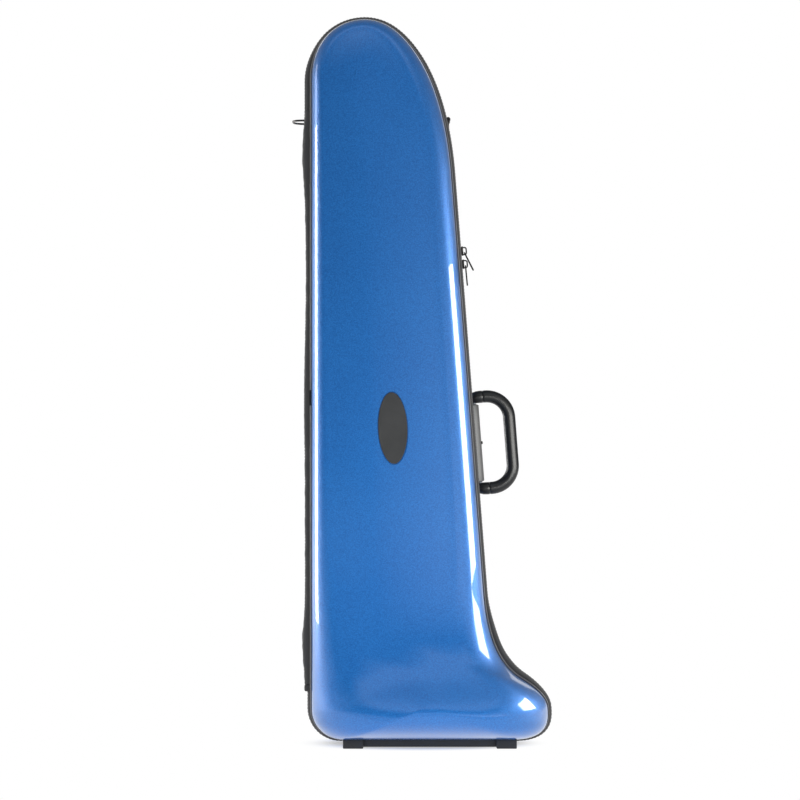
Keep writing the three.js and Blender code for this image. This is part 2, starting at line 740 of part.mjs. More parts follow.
function baseBar() {
  const middle = BAR_REACH - BAR_HALF_WIDTH;
  const rod = rodBetween('z', BAR_HALF_WIDTH, -barHalfLength, barHalfLength);
  const roundPart = moved(rod, middle, 0, 0);
  const foot = boxBetween(
    -SHELL_WALL, middle, -BAR_HALF_WIDTH, BAR_HALF_WIDTH, -barHalfLength, barHalfLength);
  return cut(onHandle(join(roundPart, foot)), keepOff, ...boltHoles, ...pinHoles);
}

function handlePath() {
  const straight = HANDLE_REACH - HANDLE_BEND_RADIUS;
  const low = HANDLE_LEG_HALF_SPAN - HANDLE_BEND_RADIUS;
  const start = HANDLE_END_REACH + FIT;
  const bend = (middle, from, to) => new THREE.EllipseCurve(
    straight, middle, HANDLE_BEND_RADIUS, HANDLE_BEND_RADIUS, from, to, true);
  const line = (from, to) => new THREE.LineCurve(from, to);
  const upperLeg = line(point(start, HANDLE_LEG_HALF_SPAN), point(straight, HANDLE_LEG_HALF_SPAN));
  const lowerLeg = line(point(straight, -HANDLE_LEG_HALF_SPAN), point(start, -HANDLE_LEG_HALF_SPAN));
  return [
    [upperLeg, 1],
    [bend(low, Math.PI / 2, 0), 5],
    [line(point(HANDLE_REACH, low), point(HANDLE_REACH, -low)), 1],
    [bend(-low, 0, -Math.PI / 2), 5],
    [lowerLeg, 1],
  ];
}

function handleRod(radius, sides, extra) {
  const stations = stationsAlong(handlePath(), true);
  stations[0] = { ...stations[0], x: stations[0].x - extra };
  const last = stations.length - 1;
  stations[last] = { ...stations[last], x: stations[last].x - extra };
  return sweep(stations, roundSection(0, 0, radius, sides), false);
}

function handleEnd(side) {
  const z = side * HANDLE_LEG_HALF_SPAN;
  const ball = new THREE.SphereGeometry(GRIP_RADIUS, ROUND_SIDES, THIN_SIDES);
  ball.translate(HANDLE_AXIS_REACH, 0, z);
  const leg = moved(rodBetween('x', GRIP_RADIUS, HANDLE_AXIS_REACH, HANDLE_END_REACH), 0, 0, z);
  const bossEnds = [z - side * GRIP_RADIUS, z].sort((a, b) => a - b);
  const boss = moved(rodBetween('z', GRIP_RADIUS, bossEnds[0], bossEnds[1]), HANDLE_AXIS_REACH, 0, 0);
  const socketEnd = HANDLE_END_REACH - CORE_SOCKET_DEPTH - FIT;
  const socket = moved(
    rodBetween('x', CORE_RADIUS + FIT, socketEnd, HANDLE_END_REACH + OVERRUN), 0, 0, z);
  return cut(onHandle(join(ball, leg, boss)), onHandle(socket), pinHoles[side > 0 ? 1 : 0]);
}

const handlePlateZone = onHandle(boxBetween(
  -OVERRUN, OVERRUN, -PLATE_WIDTH / 2, PLATE_WIDTH / 2, -PLATE_LENGTH / 2, PLATE_LENGTH / 2));
const handleRelief = onHandle(boxBetween(
  -RELIEF_DEPTH, OVERRUN, -PLATE_WIDTH / 2 - FIT, PLATE_WIDTH / 2 + FIT,
  -PLATE_LENGTH / 2 - FIT, PLATE_LENGTH / 2 + FIT));

function backingPlate() {
  const skin = common(shellBlank(SHELL_WALL + FIT), handlePlateZone);
  return cut(skin, shellBlank(SHELL_WALL + FIT + PLATE_THICK), ...boltHoles);
}

// How far the wall has rounded in at a depth, where the case is this wide
function wallInset(depth, zipSide, width) {
  const rise = (depth - RIM_DEPTH) / (BODY_DEPTH - RIM_DEPTH);
  const halfShare = zipSide ? 1 - RIDGE_SHARE : RIDGE_SHARE;
  return EDGE_SHARE * halfShare * (1 - Math.sqrt(1 - rise * rise)) * width;
}

const wallAtHandle = -wallInset(HANDLE_DEPTH, true, flankX(HANDLE_Z));
const boltHeadLow = wallAtHandle - SHELL_WALL - PLATE_THICK - 3 * FIT - SCREW_HEAD_THICK;

// The head's upper face follows the plate that it seats on
function handleBolt(z) {
  const seat = shellBlank(SHELL_WALL + PLATE_THICK + 2 * FIT);
  const headBlank = onHandle(moved(rodBetween('x', SCREW_HEAD_RADIUS, boltHeadLow, 0), 0, 0, z));
  const shank = onHandle(moved(rodBetween('x', SCREW_RADIUS, boltHeadLow, BAR_BOLT_BITE), 0, 0, z));
  return join(common(headBlank, seat), shank);
}

function handlePin(side) {
  const z = side * (barHalfLength + FIT / 2);
  return onHandle(moved(rodBetween('z', PIN_RADIUS, z - PIN_DEPTH, z + PIN_DEPTH), HANDLE_AXIS_REACH, 0, 0));
}

// Zip sliders and tabs, on the flank's frame

const plateLow = COIL_REACH + FIT;
const plateTop = plateLow + SLIDER_PLATE_THICK;
const tabAxisX = plateTop + BRIDGE_REACH - BRIDGE_WIRE - 2 * FIT - TAB_THICK / 2;
const tabAxisZ = -BRIDGE_LENGTH / 2 + BRIDGE_WIRE + FIT + TAB_THICK / 2;

function sliderBody() {
  const halfLength = SLIDER_LENGTH / 2;
  const halfWidth = SLIDER_WIDTH / 2;
  const outline = new THREE.Shape();
  const waist = halfWidth * SLIDER_WAIST_SHARE;
  outline.moveTo(-halfWidth, halfLength);
  outline.lineTo(halfWidth, halfLength);
  outline.quadraticCurveTo(halfWidth, 0, waist, -halfLength);
  outline.lineTo(-waist, -halfLength);
  outline.quadraticCurveTo(-halfWidth, 0, -halfWidth, halfLength);
  const plate = new THREE.ExtrudeGeometry(outline, {
    depth: SLIDER_PLATE_THICK, bevelEnabled: false, curveSegments: 5,
  });
  plate.rotateX(Math.PI / 2).rotateZ(Math.PI / 2).translate(plateLow, 0, 0);
  const half = BRIDGE_LENGTH / 2;
  const arch = new THREE.Shape();
  const base = plateTop - SLIDER_PLATE_THICK / 2;
  const top = plateTop + BRIDGE_REACH;
  const round = BRIDGE_REACH * BRIDGE_ROUND_SHARE;
  arch.moveTo(base, -half);
  arch.lineTo(top - round, -half);
  arch.quadraticCurveTo(top, -half, top, -half + round);
  arch.lineTo(top, half - round);
  arch.quadraticCurveTo(top, half, top - round, half);
  arch.lineTo(base, half);
  const hole = new THREE.Path();
  const inner = half - BRIDGE_WIRE;
  hole.moveTo(plateTop, -inner);
  hole.lineTo(plateTop, inner);
  hole.lineTo(top - BRIDGE_WIRE, inner);
  hole.lineTo(top - BRIDGE_WIRE, -inner);
  arch.holes.push(hole);
  const bridge = new THREE.ExtrudeGeometry(arch, {
    depth: BRIDGE_WIDTH, bevelEnabled: false, curveSegments: 4,
  });
  bridge.rotateX(Math.PI / 2).translate(0, BRIDGE_WIDTH / 2, 0);
  return join(plate, bridge);
}

function pullTab(lean) {
  const topHalf = TAB_TOP_WIDTH / 2;
  const endHalf = TAB_END_WIDTH / 2;
  const head = TAB_THICK / 2;
  const outline = new THREE.Shape();
  outline.moveTo(-topHalf, head);
  outline.lineTo(topHalf, head);
  outline.lineTo(endHalf, -TAB_LENGTH + endHalf);
  outline.absarc(0, -TAB_LENGTH + endHalf, endHalf, 0, -Math.PI, true);
  const eye = new THREE.Path();
  const eyeHalf = topHalf - TAB_SIDE_BAR;
  eye.moveTo(-eyeHalf, -head);
  eye.lineTo(-eyeHalf, -head - TAB_EYE_LENGTH);
  eye.lineTo(eyeHalf, -head - TAB_EYE_LENGTH);
  eye.lineTo(eyeHalf, -head);
  outline.holes.push(eye);
  const tab = new THREE.ExtrudeGeometry(outline, {
    depth: TAB_THICK, bevelEnabled: false, curveSegments: 6,
  });
  tab.rotateX(Math.PI / 2).rotateZ(Math.PI / 2).translate(-head, 0, 0);
  return tab.rotateY(-lean).translate(tabAxisX, 0, tabAxisZ);
}

// D-rings and their webbing tabs

const ringStation = crossing(kneeToFlank, RING_Z);

function ringFrame(zipSide) {
  if (!zipSide) return rimFrame(0, RING_Z, -1, 0);
  return rimFrame(ringStation.x, ringStation.z, ringStation.nx, ringStation.nz);
}

const tabLowDepth = RING_MID_DEPTH - RING_TAB_WIDTH / 2;
const tabHighDepth = RING_MID_DEPTH + RING_TAB_WIDTH / 2;
const sleeveRadius = RING_WIRE_RADIUS + FIT + RING_SLEEVE_WALL;

function ringTab(frame) {
  const zone = boxBetween(
    -OVERRUN, OVERRUN, tabLowDepth, tabHighDepth, -RING_TAB_LENGTH / 2, RING_TAB_LENGTH / 2);
  const pad = common(shellBlank(-FIT - RING_TAB_THICK), turned(zone, frame));
  const fin = boxBetween(
    -SHORT_OVERRUN, RING_AXIS_REACH, tabLowDepth, tabHighDepth, -RING_TAB_THICK, RING_TAB_THICK);
  const rod = rodBetween('y', sleeveRadius, tabLowDepth, tabHighDepth);
  const boreRod = rodBetween(
    'y', RING_WIRE_RADIUS + FIT, tabLowDepth - SHORT_OVERRUN, tabHighDepth + SHORT_OVERRUN);
  const sleeve = moved(rod, RING_AXIS_REACH, 0, 0);
  const bore = moved(boreRod, RING_AXIS_REACH, 0, 0);
  return cut(join(pad, turned(join(fin, sleeve), frame)), keepOff, turned(bore, frame));
}

// The ring lies in the X and Y plane of its frame, then swings about its bar
function dRing(frame, swing) {
  const bow = new THREE.Path();
  const half = RING_BAR_HALF;
  bow.moveTo(0, half);
  bow.lineTo(RING_REACH - RING_CORNER, half);
  const bend = RING_REACH - RING_CORNER;
  bow.absellipse(bend, half - RING_CORNER, RING_CORNER, RING_CORNER, Math.PI / 2, 0, true);
  bow.lineTo(RING_REACH, -half + RING_CORNER);
  bow.absellipse(bend, -half + RING_CORNER, RING_CORNER, RING_CORNER, 0, -Math.PI / 2, true);
  bow.lineTo(0, -half);
  const places = bow.getPoints(5);
  const distinct = places.filter((p, i) => i === 0 || p.distanceTo(places[i - 1]) > FIT);
  const stations = distinct.map((p, i) => {
    const before = distinct[(i + distinct.length - 1) % distinct.length];
    const after = distinct[(i + 1) % distinct.length];
    const along = new THREE.Vector2().subVectors(p, before).normalize();
    along.add(new THREE.Vector2().subVectors(after, p).normalize()).normalize();
    const into = new THREE.Vector2().subVectors(p, before).normalize();
    const stretch = 1 / Math.abs(into.dot(along));
    return { x: p.x, z: p.y, nx: -along.y * stretch, nz: along.x * stretch };
  });
  const ring = sweep(stations, roundSection(0, 0, RING_WIRE_RADIUS, THIN_SIDES), true);
  ring.rotateX(-Math.PI / 2).rotateY(swing).translate(RING_AXIS_REACH, RING_MID_DEPTH, 0);
  return turned(ring, frame);
}

// A rivet's head follows the webbing that it holds
function rivet(frame, zipSide, z) {
  const seat = -wallInset(RING_MID_DEPTH, zipSide, ringStation.x) + FIT + RING_TAB_THICK;
  const head = rodBetween('x', RIVET_HEAD_RADIUS, seat - RIVET_HEAD_RADIUS, seat + FIT + RIVET_HEAD_THICK);
  return cut(turned(moved(head, 0, RING_MID_DEPTH, z), frame), shellBlank(-2 * FIT - RING_TAB_THICK));
}

// Webbing straps that hold the instrument in the back lining

function strap(midX, length, z) {
  const far = FOAM_FACE_DEPTH - FIT;
  const half = length / 2;
  return boxBetween(
    midX - half, midX + half, far - STRAP_THICK, far, z - STRAP_WIDTH / 2, z + STRAP_WIDTH / 2);
}

// Clip that closes the joint of the lid's piping
function pipingClip() {
  const reach = FIT + 2 * PIPING_RADIUS;
  const half = CLIP_LENGTH / 2;
  return boxBetween(-reach, -FIT, RIM_DEPTH, RIM_DEPTH + CLIP_THICK, CLIP_Z - half, CLIP_Z + half);
}

// Back shell and what it carries

const leftFrame = ringFrame(false);
const rightFrame = ringFrame(true);
const footHoles = footXs.map(screwHole);

addPiece('back_shell', cut(wallBody, ...footHoles, ...boltHoles), bluePaint);
addPiece('back_profile', sweep(wholeRim, profileSection, true), blackRubber);
addPiece('back_piping', sweep(wholeRim, pipingSection, true), greyPiping);
addPiece('zip_tape_back', sweep(zipPath, tapeSection, false), darkTextile);
addPiece('zip_coil_back', sweep(zipPath, coilSection, false), zipNylon);
addPiece('spine_leaf_back', spineLeaf(true), darkTextile);
const sharedPockets = [bellPocket, slidePocket, tubingPocket];
const backPockets = [...sharedPockets, accessoryPocket, mouthpiecePocket, handleRelief];
addPiece('back_foam_bed', cut(foamBlank(), ...backPockets), foamPlush);
addPiece('spine_hem_back', spineHem(), darkTextile);
const slideStrapLength = SLIDE_POCKET_WIDTH + 2 * STRAP_LANDING;
addPiece('slide_strap', strap(SLIDE_POCKET_X, slideStrapLength, SLIDE_STRAP_Z), darkTextile);
addPiece('bell_strap', strap(BELL_AXIS_X, BELL_STRAP_LENGTH, BELL_STRAP_Z), darkTextile);
addPiece('foot_rail_back', footRail(), footPlastic);
footXs.forEach((x, i) => {
  addPiece(`foot_screw_back_${i + 1}`, moved(footScrew(), x, footMidDepth, 0), steel);
});

addPiece('handle_base_bar', baseBar(), greyBar);
addPiece('handle_backing_plate', backingPlate(), steel);
addPiece('handle_stud',
  onHandle(rodBetween('x', BAR_STUD_RADIUS, BAR_REACH + FIT, BAR_REACH + BAR_STUD_RISE)), darkMetal);
['lower', 'upper'].forEach((name, i) => {
  const side = i === 0 ? -1 : 1;
  addPiece(`handle_bolt_${name}`, handleBolt(boltHeights[i]), steel);
  addPiece(`handle_pin_${name}`, handlePin(side), steel);
  addPiece(`handle_end_${name}`, handleEnd(side), blackRubber);
});
const gripBody = onHandle(handleRod(GRIP_RADIUS, ROUND_SIDES, 0));
const gripBore = onHandle(handleRod(CORE_RADIUS + FIT, ROD_SIDES, SHORT_OVERRUN));
addPiece('handle_core', onHandle(handleRod(CORE_RADIUS, ROD_SIDES, CORE_SOCKET_DEPTH)), steel);
addPiece('handle_grip', cut(gripBody, gripBore), gripRubber);

addPiece('ring_tab_left', ringTab(leftFrame), darkTextile);
addPiece('ring_tab_right', ringTab(rightFrame), darkTextile);
for (const [name, z] of [['upper', RING_RIVET_OFFSET], ['lower', -RING_RIVET_OFFSET]]) {
  addPiece(`ring_rivet_left_${name}`, rivet(leftFrame, false, z), darkMetal);
  addPiece(`ring_rivet_right_${name}`, rivet(rightFrame, true, z), darkMetal);
}
addPiece('d_ring_left', dRing(leftFrame, 0), darkMetal);
addPiece('d_ring_right', dRing(rightFrame, RING_HANG), darkMetal);

// Zip sliders

const sliders = [
  ['upper', SLIDER_UPPER_Z, TAB_UPPER_LEAN],
  ['lower', SLIDER_LOWER_Z, TAB_LOWER_LEAN],
];
for (const [name, z, lean] of sliders) {
  const frame = flankFrame(z);
  addPiece(`zip_slider_${name}`, turned(sliderBody(), frame), darkMetal);
  addPiece(`pull_tab_${name}`, turned(pullTab(lean), frame), darkMetal);
}

// Lid

addPiece('front_shell', mirrored(cut(wallBody, ...footHoles, badgeRecess)), bluePaint);
addPiece('front_profile', mirrored(sweep(wholeRim, profileSection, true)), blackRubber);
addPiece('front_piping', mirrored(sweep(wholeRim, pipingSection, true)), greyPiping);
addPiece('zip_tape_front', mirrored(sweep(zipPath, tapeSection, false)), darkTextile);
addPiece('zip_coil_front', mirrored(sweep(zipPath, coilSection, false)), zipNylon);
addPiece('spine_leaf_front', mirrored(spineLeaf(false)), darkTextile);
addPiece('lid_foam', mirrored(cut(foamBlank(), ...sharedPockets)), foamPlush);
addPiece('spine_hem_front', mirrored(spineHem()), darkTextile);
addPiece('piping_clip', mirrored(pipingClip()), darkMetal);
addPiece('badge_plate', mirrored(badgePlate), badgeGrey);
addPiece('foot_rail_front', mirrored(footRail()), footPlastic);
footXs.forEach((x, i) => {
  addPiece(`foot_screw_front_${i + 1}`, mirrored(moved(footScrew(), x, footMidDepth, 0)), steel);
});

group.updateMatrixWorld(true);
const box = new THREE.Box3().setFromObject(group);
group.position.x = -(box.min.x + box.max.x) / 2;
group.position.y = -(box.min.y + box.max.y) / 2;
group.position.z = -box.min.z;

export default group;
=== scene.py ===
# %% [markdown]
# A hard case for a tenor trombone: two moulded blue shells, a zip round the rim, and a
# textile spine for a hinge. The solids, made beforehand, say where everything sits and what
# moves, so the first step is to load them and to keep the box that they fill. Everything
# after it dresses those solids, in metres and in their own frame.

# %% Load the solids
import json
import math
import bmesh
import bpy
from mathutils import Matrix, Vector, noise

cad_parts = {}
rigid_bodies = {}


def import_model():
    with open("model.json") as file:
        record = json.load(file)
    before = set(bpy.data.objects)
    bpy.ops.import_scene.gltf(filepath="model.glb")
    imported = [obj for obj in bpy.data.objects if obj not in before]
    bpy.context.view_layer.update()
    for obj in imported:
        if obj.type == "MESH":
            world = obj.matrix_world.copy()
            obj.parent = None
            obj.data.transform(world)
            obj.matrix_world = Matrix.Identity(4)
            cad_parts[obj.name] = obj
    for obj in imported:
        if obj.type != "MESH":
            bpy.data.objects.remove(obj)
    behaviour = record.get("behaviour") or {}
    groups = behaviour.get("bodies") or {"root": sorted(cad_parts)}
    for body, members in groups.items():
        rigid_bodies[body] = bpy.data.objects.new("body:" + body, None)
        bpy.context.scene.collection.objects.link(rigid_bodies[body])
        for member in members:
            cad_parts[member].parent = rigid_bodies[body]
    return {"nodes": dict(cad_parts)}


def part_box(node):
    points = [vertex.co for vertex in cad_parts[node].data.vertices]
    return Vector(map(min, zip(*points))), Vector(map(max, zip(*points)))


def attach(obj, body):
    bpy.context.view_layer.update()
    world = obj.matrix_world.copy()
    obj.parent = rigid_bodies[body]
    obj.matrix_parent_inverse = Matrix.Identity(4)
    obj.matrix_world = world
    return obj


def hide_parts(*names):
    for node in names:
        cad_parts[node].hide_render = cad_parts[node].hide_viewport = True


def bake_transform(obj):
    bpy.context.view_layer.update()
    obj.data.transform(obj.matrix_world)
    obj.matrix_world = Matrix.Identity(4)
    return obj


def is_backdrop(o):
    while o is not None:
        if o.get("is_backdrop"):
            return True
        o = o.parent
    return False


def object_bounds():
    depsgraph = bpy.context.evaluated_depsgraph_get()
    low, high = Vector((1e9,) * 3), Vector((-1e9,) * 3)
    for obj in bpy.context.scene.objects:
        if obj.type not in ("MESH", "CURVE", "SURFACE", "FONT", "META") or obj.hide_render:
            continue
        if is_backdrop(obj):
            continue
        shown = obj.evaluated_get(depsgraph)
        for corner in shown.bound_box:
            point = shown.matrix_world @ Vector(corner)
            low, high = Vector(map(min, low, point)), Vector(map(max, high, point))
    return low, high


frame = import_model()
solid_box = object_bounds()
MM = 0.001
print("solids", len(frame["nodes"]), "box", [tuple(round(v, 4) for v in c) for c in solid_box])

# %% [markdown]
# The camera stands straight in front of the case, level and at about half its height. The
# distance follows from how much nearer the bulging foot looks than the rim. A long lens at
# 2.8 metres gives the flat, calm perspective of a catalogue picture.

# %% Camera
def placed(name, data):
    made = bpy.data.objects.new(name, data)
    bpy.context.collection.objects.link(made)
    return made


EYE = Vector((-26.5, -2800, 426.8)) * MM
SENSOR_WIDTH = 36
FRAME_WIDTH_AT_SEAM = 0.9958

camera_data = bpy.data.cameras.new("camera")
camera_data.sensor_width = SENSOR_WIDTH
camera_data.lens = SENSOR_WIDTH * -EYE.y / FRAME_WIDTH_AT_SEAM
camera = placed("camera", camera_data)
camera.location = EYE
camera.rotation_euler = (math.pi / 2, 0, 0)
bpy.context.scene.camera = camera
bpy.context.scene.view_settings.view_transform = "Standard"
print("lens", round(camera_data.lens, 1), "mm")

# %% [markdown]
# Shader maths reads best as plain sums, such as `0.3 + 0.2 * grain`. The class `Value` wraps
# one socket and turns Python's operators into Math nodes, so that a formula can be read in
# one line instead of being followed from node to node.

# %% Shader values
class Value:
    def __init__(self, finish, socket):
        self.finish, self.socket = finish, socket

    def math(self, operation, other=None):
        inputs = {0: self} if other is None else {0: self, 1: other}
        return self.finish.add("ShaderNodeMath", {"operation": operation}, inputs)

    def ramp(self, start, end, kind="LINEAR"):
        """0 at start, 1 at end and clamped outside."""
        inputs = {"Value": self, "From Min": start, "From Max": end}
        return self.finish.add("ShaderNodeMapRange", {"interpolation_type": kind}, inputs)

    def __add__(self, other):
        return self.math("ADD", other)

    def __mul__(self, other):
        return self.math("MULTIPLY", other)

    def __sub__(self, other):
        return self.math("SUBTRACT", other)

    __radd__, __rmul__ = __add__, __mul__


print("a shader value knows +, - and *")

# %% [markdown]
# A `Finish` is the node tree of one material or of the world. `add` makes any node and
# returns one of its outputs, and `paint` fills the sockets of the main shader. The other
# functions are the few textures that all finishes of this case are mixed from: their place,
# a grain, a range of shades and a bump.

# %% Finishes
class Finish:
    def __init__(self, owner):
        self.owner = bpy.data.materials.new(owner) if isinstance(owner, str) else owner
        self.owner.use_nodes = True
        self.tree = self.owner.node_tree
        self.shader = self.tree.nodes.get("Principled BSDF")

    def set(self, socket, value):
        if isinstance(value, Value):
            self.tree.links.new(value.socket, socket)
        else:
            socket.default_value = value

    def add(self, kind, settings=(), inputs=(), output=0):
        node = self.tree.nodes.new(kind)
        for key, value in dict(settings).items():
            setattr(node, key, value)
        for key, value in dict(inputs).items():
            self.set(node.inputs[key], value)
        return Value(self, node.outputs[output])

    def place(self, scale=(1, 1, 1), uv=False):
        """Metres on the object, or on the unrolled surface."""
        source = self.add("ShaderNodeTexCoord", output="UV" if uv else "Object")
        return self.add("ShaderNodeMapping", (), {"Vector": source, "Scale": scale})

    def axes(self, place):
        return [self.add("ShaderNodeSeparateXYZ", (), {0: place}, axis) for axis in range(3)]

    def grain(self, size, detail=4, roughness=0.6, where=None):
        """Noise between 0 and 1 whose lumps are about size metres."""
        inputs = {"Vector": where or self.place(), "Scale": 1 / size,
                  "Detail": detail, "Roughness": roughness}
        return self.add("ShaderNodeTexNoise", (), inputs)

    def shades(self, amount, *stops):
        """From one colour to another; a stop is (place, colour)."""
        ramp = self.add("ShaderNodeValToRGB", (), {"Fac": amount})
        for element, stop in zip(ramp.socket.node.color_ramp.elements, stops):
            element.position, element.color = stop
        return ramp

    def bump(self, height, distance):
        inputs = {"Height": height, "Distance": distance, "Strength": 1.0}
        return self.add("ShaderNodeBump", (), inputs)

    def paint(self, **sockets):
        for name, value in sockets.items():
            self.set(self.shader.inputs[name.replace("_", " ").title()], value)
        return self.owner

    def surface(self, value):
        self.set(self.tree.nodes["Material Output"].inputs["Surface"], value)


def gray(level, tint=(1, 1, 1)):
    return (level * tint[0], level * tint[1], level * tint[2], 1)


print("mid grey is", gray(0.5))

# %% [markdown]
# A catalogue picture is lit by big soft boxes against white. The world is plain white to
# the camera and to reflections, and a calmer grey as light. The floor is white paper that
# keeps the shadow under the case and turns into pure white a little way off. The shadow's
# zone is an oval, wider than it is deep.

# %% World and floor
AMBIENT, FLOOR_WHITE, PAPER_GLOW = 0.64, 0.93, 1.02
FLOOR_HALF_WIDTH, FLOOR_FRONT, FLOOR_BACK = 2.2, -0.5, 2.6
SHADOW_NEAR, SHADOW_FAR, SHADOW_SQUEEZE = 0.1, 0.16, 2.4


def seen_directly(finish):
    """1 for rays from the camera, a mirror or clear glass, otherwise 0."""
    rays = [finish.add("ShaderNodeLightPath", output=f"Is {kind} Ray")
            for kind in ("Camera", "Glossy", "Transmission")]
    return rays[0].math("MAXIMUM", rays[1]).math("MAXIMUM", rays[2])


def object_from(form, name, material=None):
    mesh = bpy.data.meshes.new(name)
    form.to_mesh(mesh)
    form.free()
    if material:
        mesh.materials.append(material)
    return placed(name, mesh)


def stage_sheet(name, corners, finish):
    sheet = bmesh.new()
    sheet.faces.new([sheet.verts.new(c) for c in corners])
    card = object_from(sheet, name, finish.owner)
    card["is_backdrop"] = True
    return card


sky = Finish(bpy.data.worlds.new("studio"))
bpy.context.scene.world = sky.owner
background = sky.tree.nodes["Background"]
levels = {"Value": seen_directly(sky), "To Min": AMBIENT, "To Max": 1}
sky.set(background.inputs["Strength"], sky.add("ShaderNodeMapRange", (), levels))
sky.set(background.inputs["Color"], gray(1))

paper = Finish("floor_paper")
squeeze = {0: paper.place(), 1: (1, SHADOW_SQUEEZE, 1)}
squeezed = paper.add("ShaderNodeVectorMath", {"operation": "MULTIPLY"}, squeeze)
from_middle = paper.add("ShaderNodeVectorMath", {"operation": "LENGTH"}, {0: squeezed}, "Value")
far = from_middle.ramp(SHADOW_NEAR, SHADOW_FAR, "SMOOTHSTEP")
glow = paper.add("ShaderNodeEmission", (), {"Color": gray(1), "Strength": 1.0})
paper.paint(base_color=gray(FLOOR_WHITE), roughness=0.9, emission_color=gray(1),
            emission_strength=PAPER_GLOW - AMBIENT * FLOOR_WHITE)
lit_paper = Value(paper, paper.shader.outputs[0])
mixed = {0: far * seen_directly(paper), 1: lit_paper, 2: glow}
paper.surface(paper.add("ShaderNodeMixShader", (), mixed))

wide = FLOOR_HALF_WIDTH
stage_sheet("floor", [(-wide, FLOOR_FRONT, 0), (wide, FLOOR_FRONT, 0),
                      (wide, FLOOR_BACK, 0), (-wide, FLOOR_BACK, 0)], paper)
print("world and floor")

# %% [markdown]
# Glossy paint shows what stands round it more than its own colour. A room of five sheets
# stands round the case for reflections only. It is dark on the left and lighter on the
# right, its mat and the front of its ceiling glow, and the strengths are ramps along its
# axes, each given by where it starts and where it ends.

# %% Reflected room
ROOM_LEFT, ROOM_RIGHT, ROOM_SIDES = 0.1, 2.25, 0.22
MAT_GLOW, OVERHEAD_GLOW = 0.55, 0.92
CURTAIN_DISTANCE, ROOM_HALF_WIDTH, ROOM_BACK, ROOM_HEIGHT = 3.4, 2.4, 6, 3.2
MAT_FRONT = -0.22
RIGHT_RAMP, FLOOR_RAMP, FRONT_RAMP = (-0.3, 1.4), (1.9, -0.2), (-0.4, -2.0)
MAT_RAMP, OVERHEAD_RAMP = (0.3, 0), (1.6, 3.2)
ROOM_TINT = (0.86, 0.93, 1.0)

room = Finish("dark_room")
right, inward, height = room.axes(room.place())
toward_floor, in_front = height.ramp(*FLOOR_RAMP), inward.ramp(*FRONT_RAMP)
lit = (ROOM_LEFT + ROOM_RIGHT * right.ramp(*RIGHT_RAMP)) * (toward_floor * toward_floor)
strength = (ROOM_SIDES + (lit - ROOM_SIDES) * in_front + height.ramp(*MAT_RAMP) * MAT_GLOW
            + height.ramp(*OVERHEAD_RAMP) * in_front * OVERHEAD_GLOW)
room.surface(room.add("ShaderNodeEmission", (), {"Color": gray(1, ROOM_TINT), "Strength": strength}))

wide, front, back, top = ROOM_HALF_WIDTH, -CURTAIN_DISTANCE, ROOM_BACK, ROOM_HEIGHT
room_sheets = {
    "dark_curtain": [(-wide, front, 0), (wide, front, 0), (wide, front, top), (-wide, front, top)],
    "dark_mat": [(-wide, front, MM), (wide, front, MM), (wide, MAT_FRONT, MM), (-wide, MAT_FRONT, MM)],
    "dark_ceiling": [(-wide, front, top), (wide, front, top), (wide, back, top), (-wide, back, top)],
    "dark_left": [(-wide, front, 0), (-wide, back, 0), (-wide, back, top), (-wide, front, top)],
    "dark_right": [(wide, front, 0), (wide, back, 0), (wide, back, top), (wide, front, top)],
}
for name, corners in room_sheets.items():
    card = stage_sheet(name, corners, room)
    for ray in ("camera", "diffuse", "transmission", "volume_scatter", "shadow"):
        setattr(card, f"visible_{ray}", False)
print("room sheets", len(room_sheets))

# %% [markdown]
# Soft boxes beside the case draw the thin white line on its left edge, which is fainter
# above, and the broad one on its right edge. They show in gloss only. The handle has a box
# of its own instead of the right one. A low box in front shines as plain light on the lid
# alone, so that the lid is darker towards the crown.

# %% Soft boxes
SOFT_BOXES = {
    # degrees from the camera's side towards +X, distance, low and high edge, width, radiance
    "left_box": (-118, 1.3, 0.04, 0.90, 0.34, 13),
    "left_faint_box": (-118, 1.3, 0.90, 1.2, 0.30, 1.6),
    "right_box": (100, 1.3, 0.22, 0.76, 0.7, 13, (1.0, 0.985, 0.96)),
    "grip_box": (38, 1.6, 0.1, 0.62, 1.7, 9, (1.0, 0.98, 0.93)),
    "low_box": (0, 0.75, -0.005, 0.245, 0.9, 2.0),
}
LIT_BY = {"right_box": "all_but_handle", "grip_box": "handle_only", "low_box": "lid_only"}


def soft_box(name, degrees, distance, low, high, width, radiance, color=(1, 1, 1)):
    lamp = bpy.data.lights.new(name, "AREA")
    lamp.shape = "RECTANGLE"
    lamp.size, lamp.size_y = width, high - low
    lamp.energy = radiance * 4 * width * (high - low)
    lamp.color = color
    box = placed(name, lamp)
    angle = math.radians(degrees)
    outward = Vector((math.sin(angle), -math.cos(angle), 0))
    box.location = outward * distance + Vector((0, 0, (low + high) / 2))
    box.rotation_euler = outward.to_track_quat("Z", "Y").to_euler()
    box.visible_camera = False
    box.visible_diffuse, box.visible_glossy = name == "low_box", name != "low_box"
    if name in LIT_BY:
        box.light_linking.receiver_collection = bpy.data.collections.new(LIT_BY[name])
    return box


boxes = {name: soft_box(name, *numbers) for name, numbers in SOFT_BOXES.items()}


def light_by(box, piece, state="INCLUDE"):
    """Puts a piece on the list of those that a box lights, or keeps it off."""
    listed = boxes[box].light_linking.receiver_collection
    listed.objects.link(piece)
    listed.collection_objects[-1].light_linking.link_state = state


print("lamps", len(bpy.data.lights))

# %% [markdown]
# Real blue car paint holds metal flakes under a clear coat. The flakes are Voronoi cells
# smaller than a pixel, each a little lighter or darker and tilted its own way, and only the
# coloured layer sees them. The clear coat above stays smooth and makes the sharp
# reflections. A slow noise keeps the colour from looking printed.

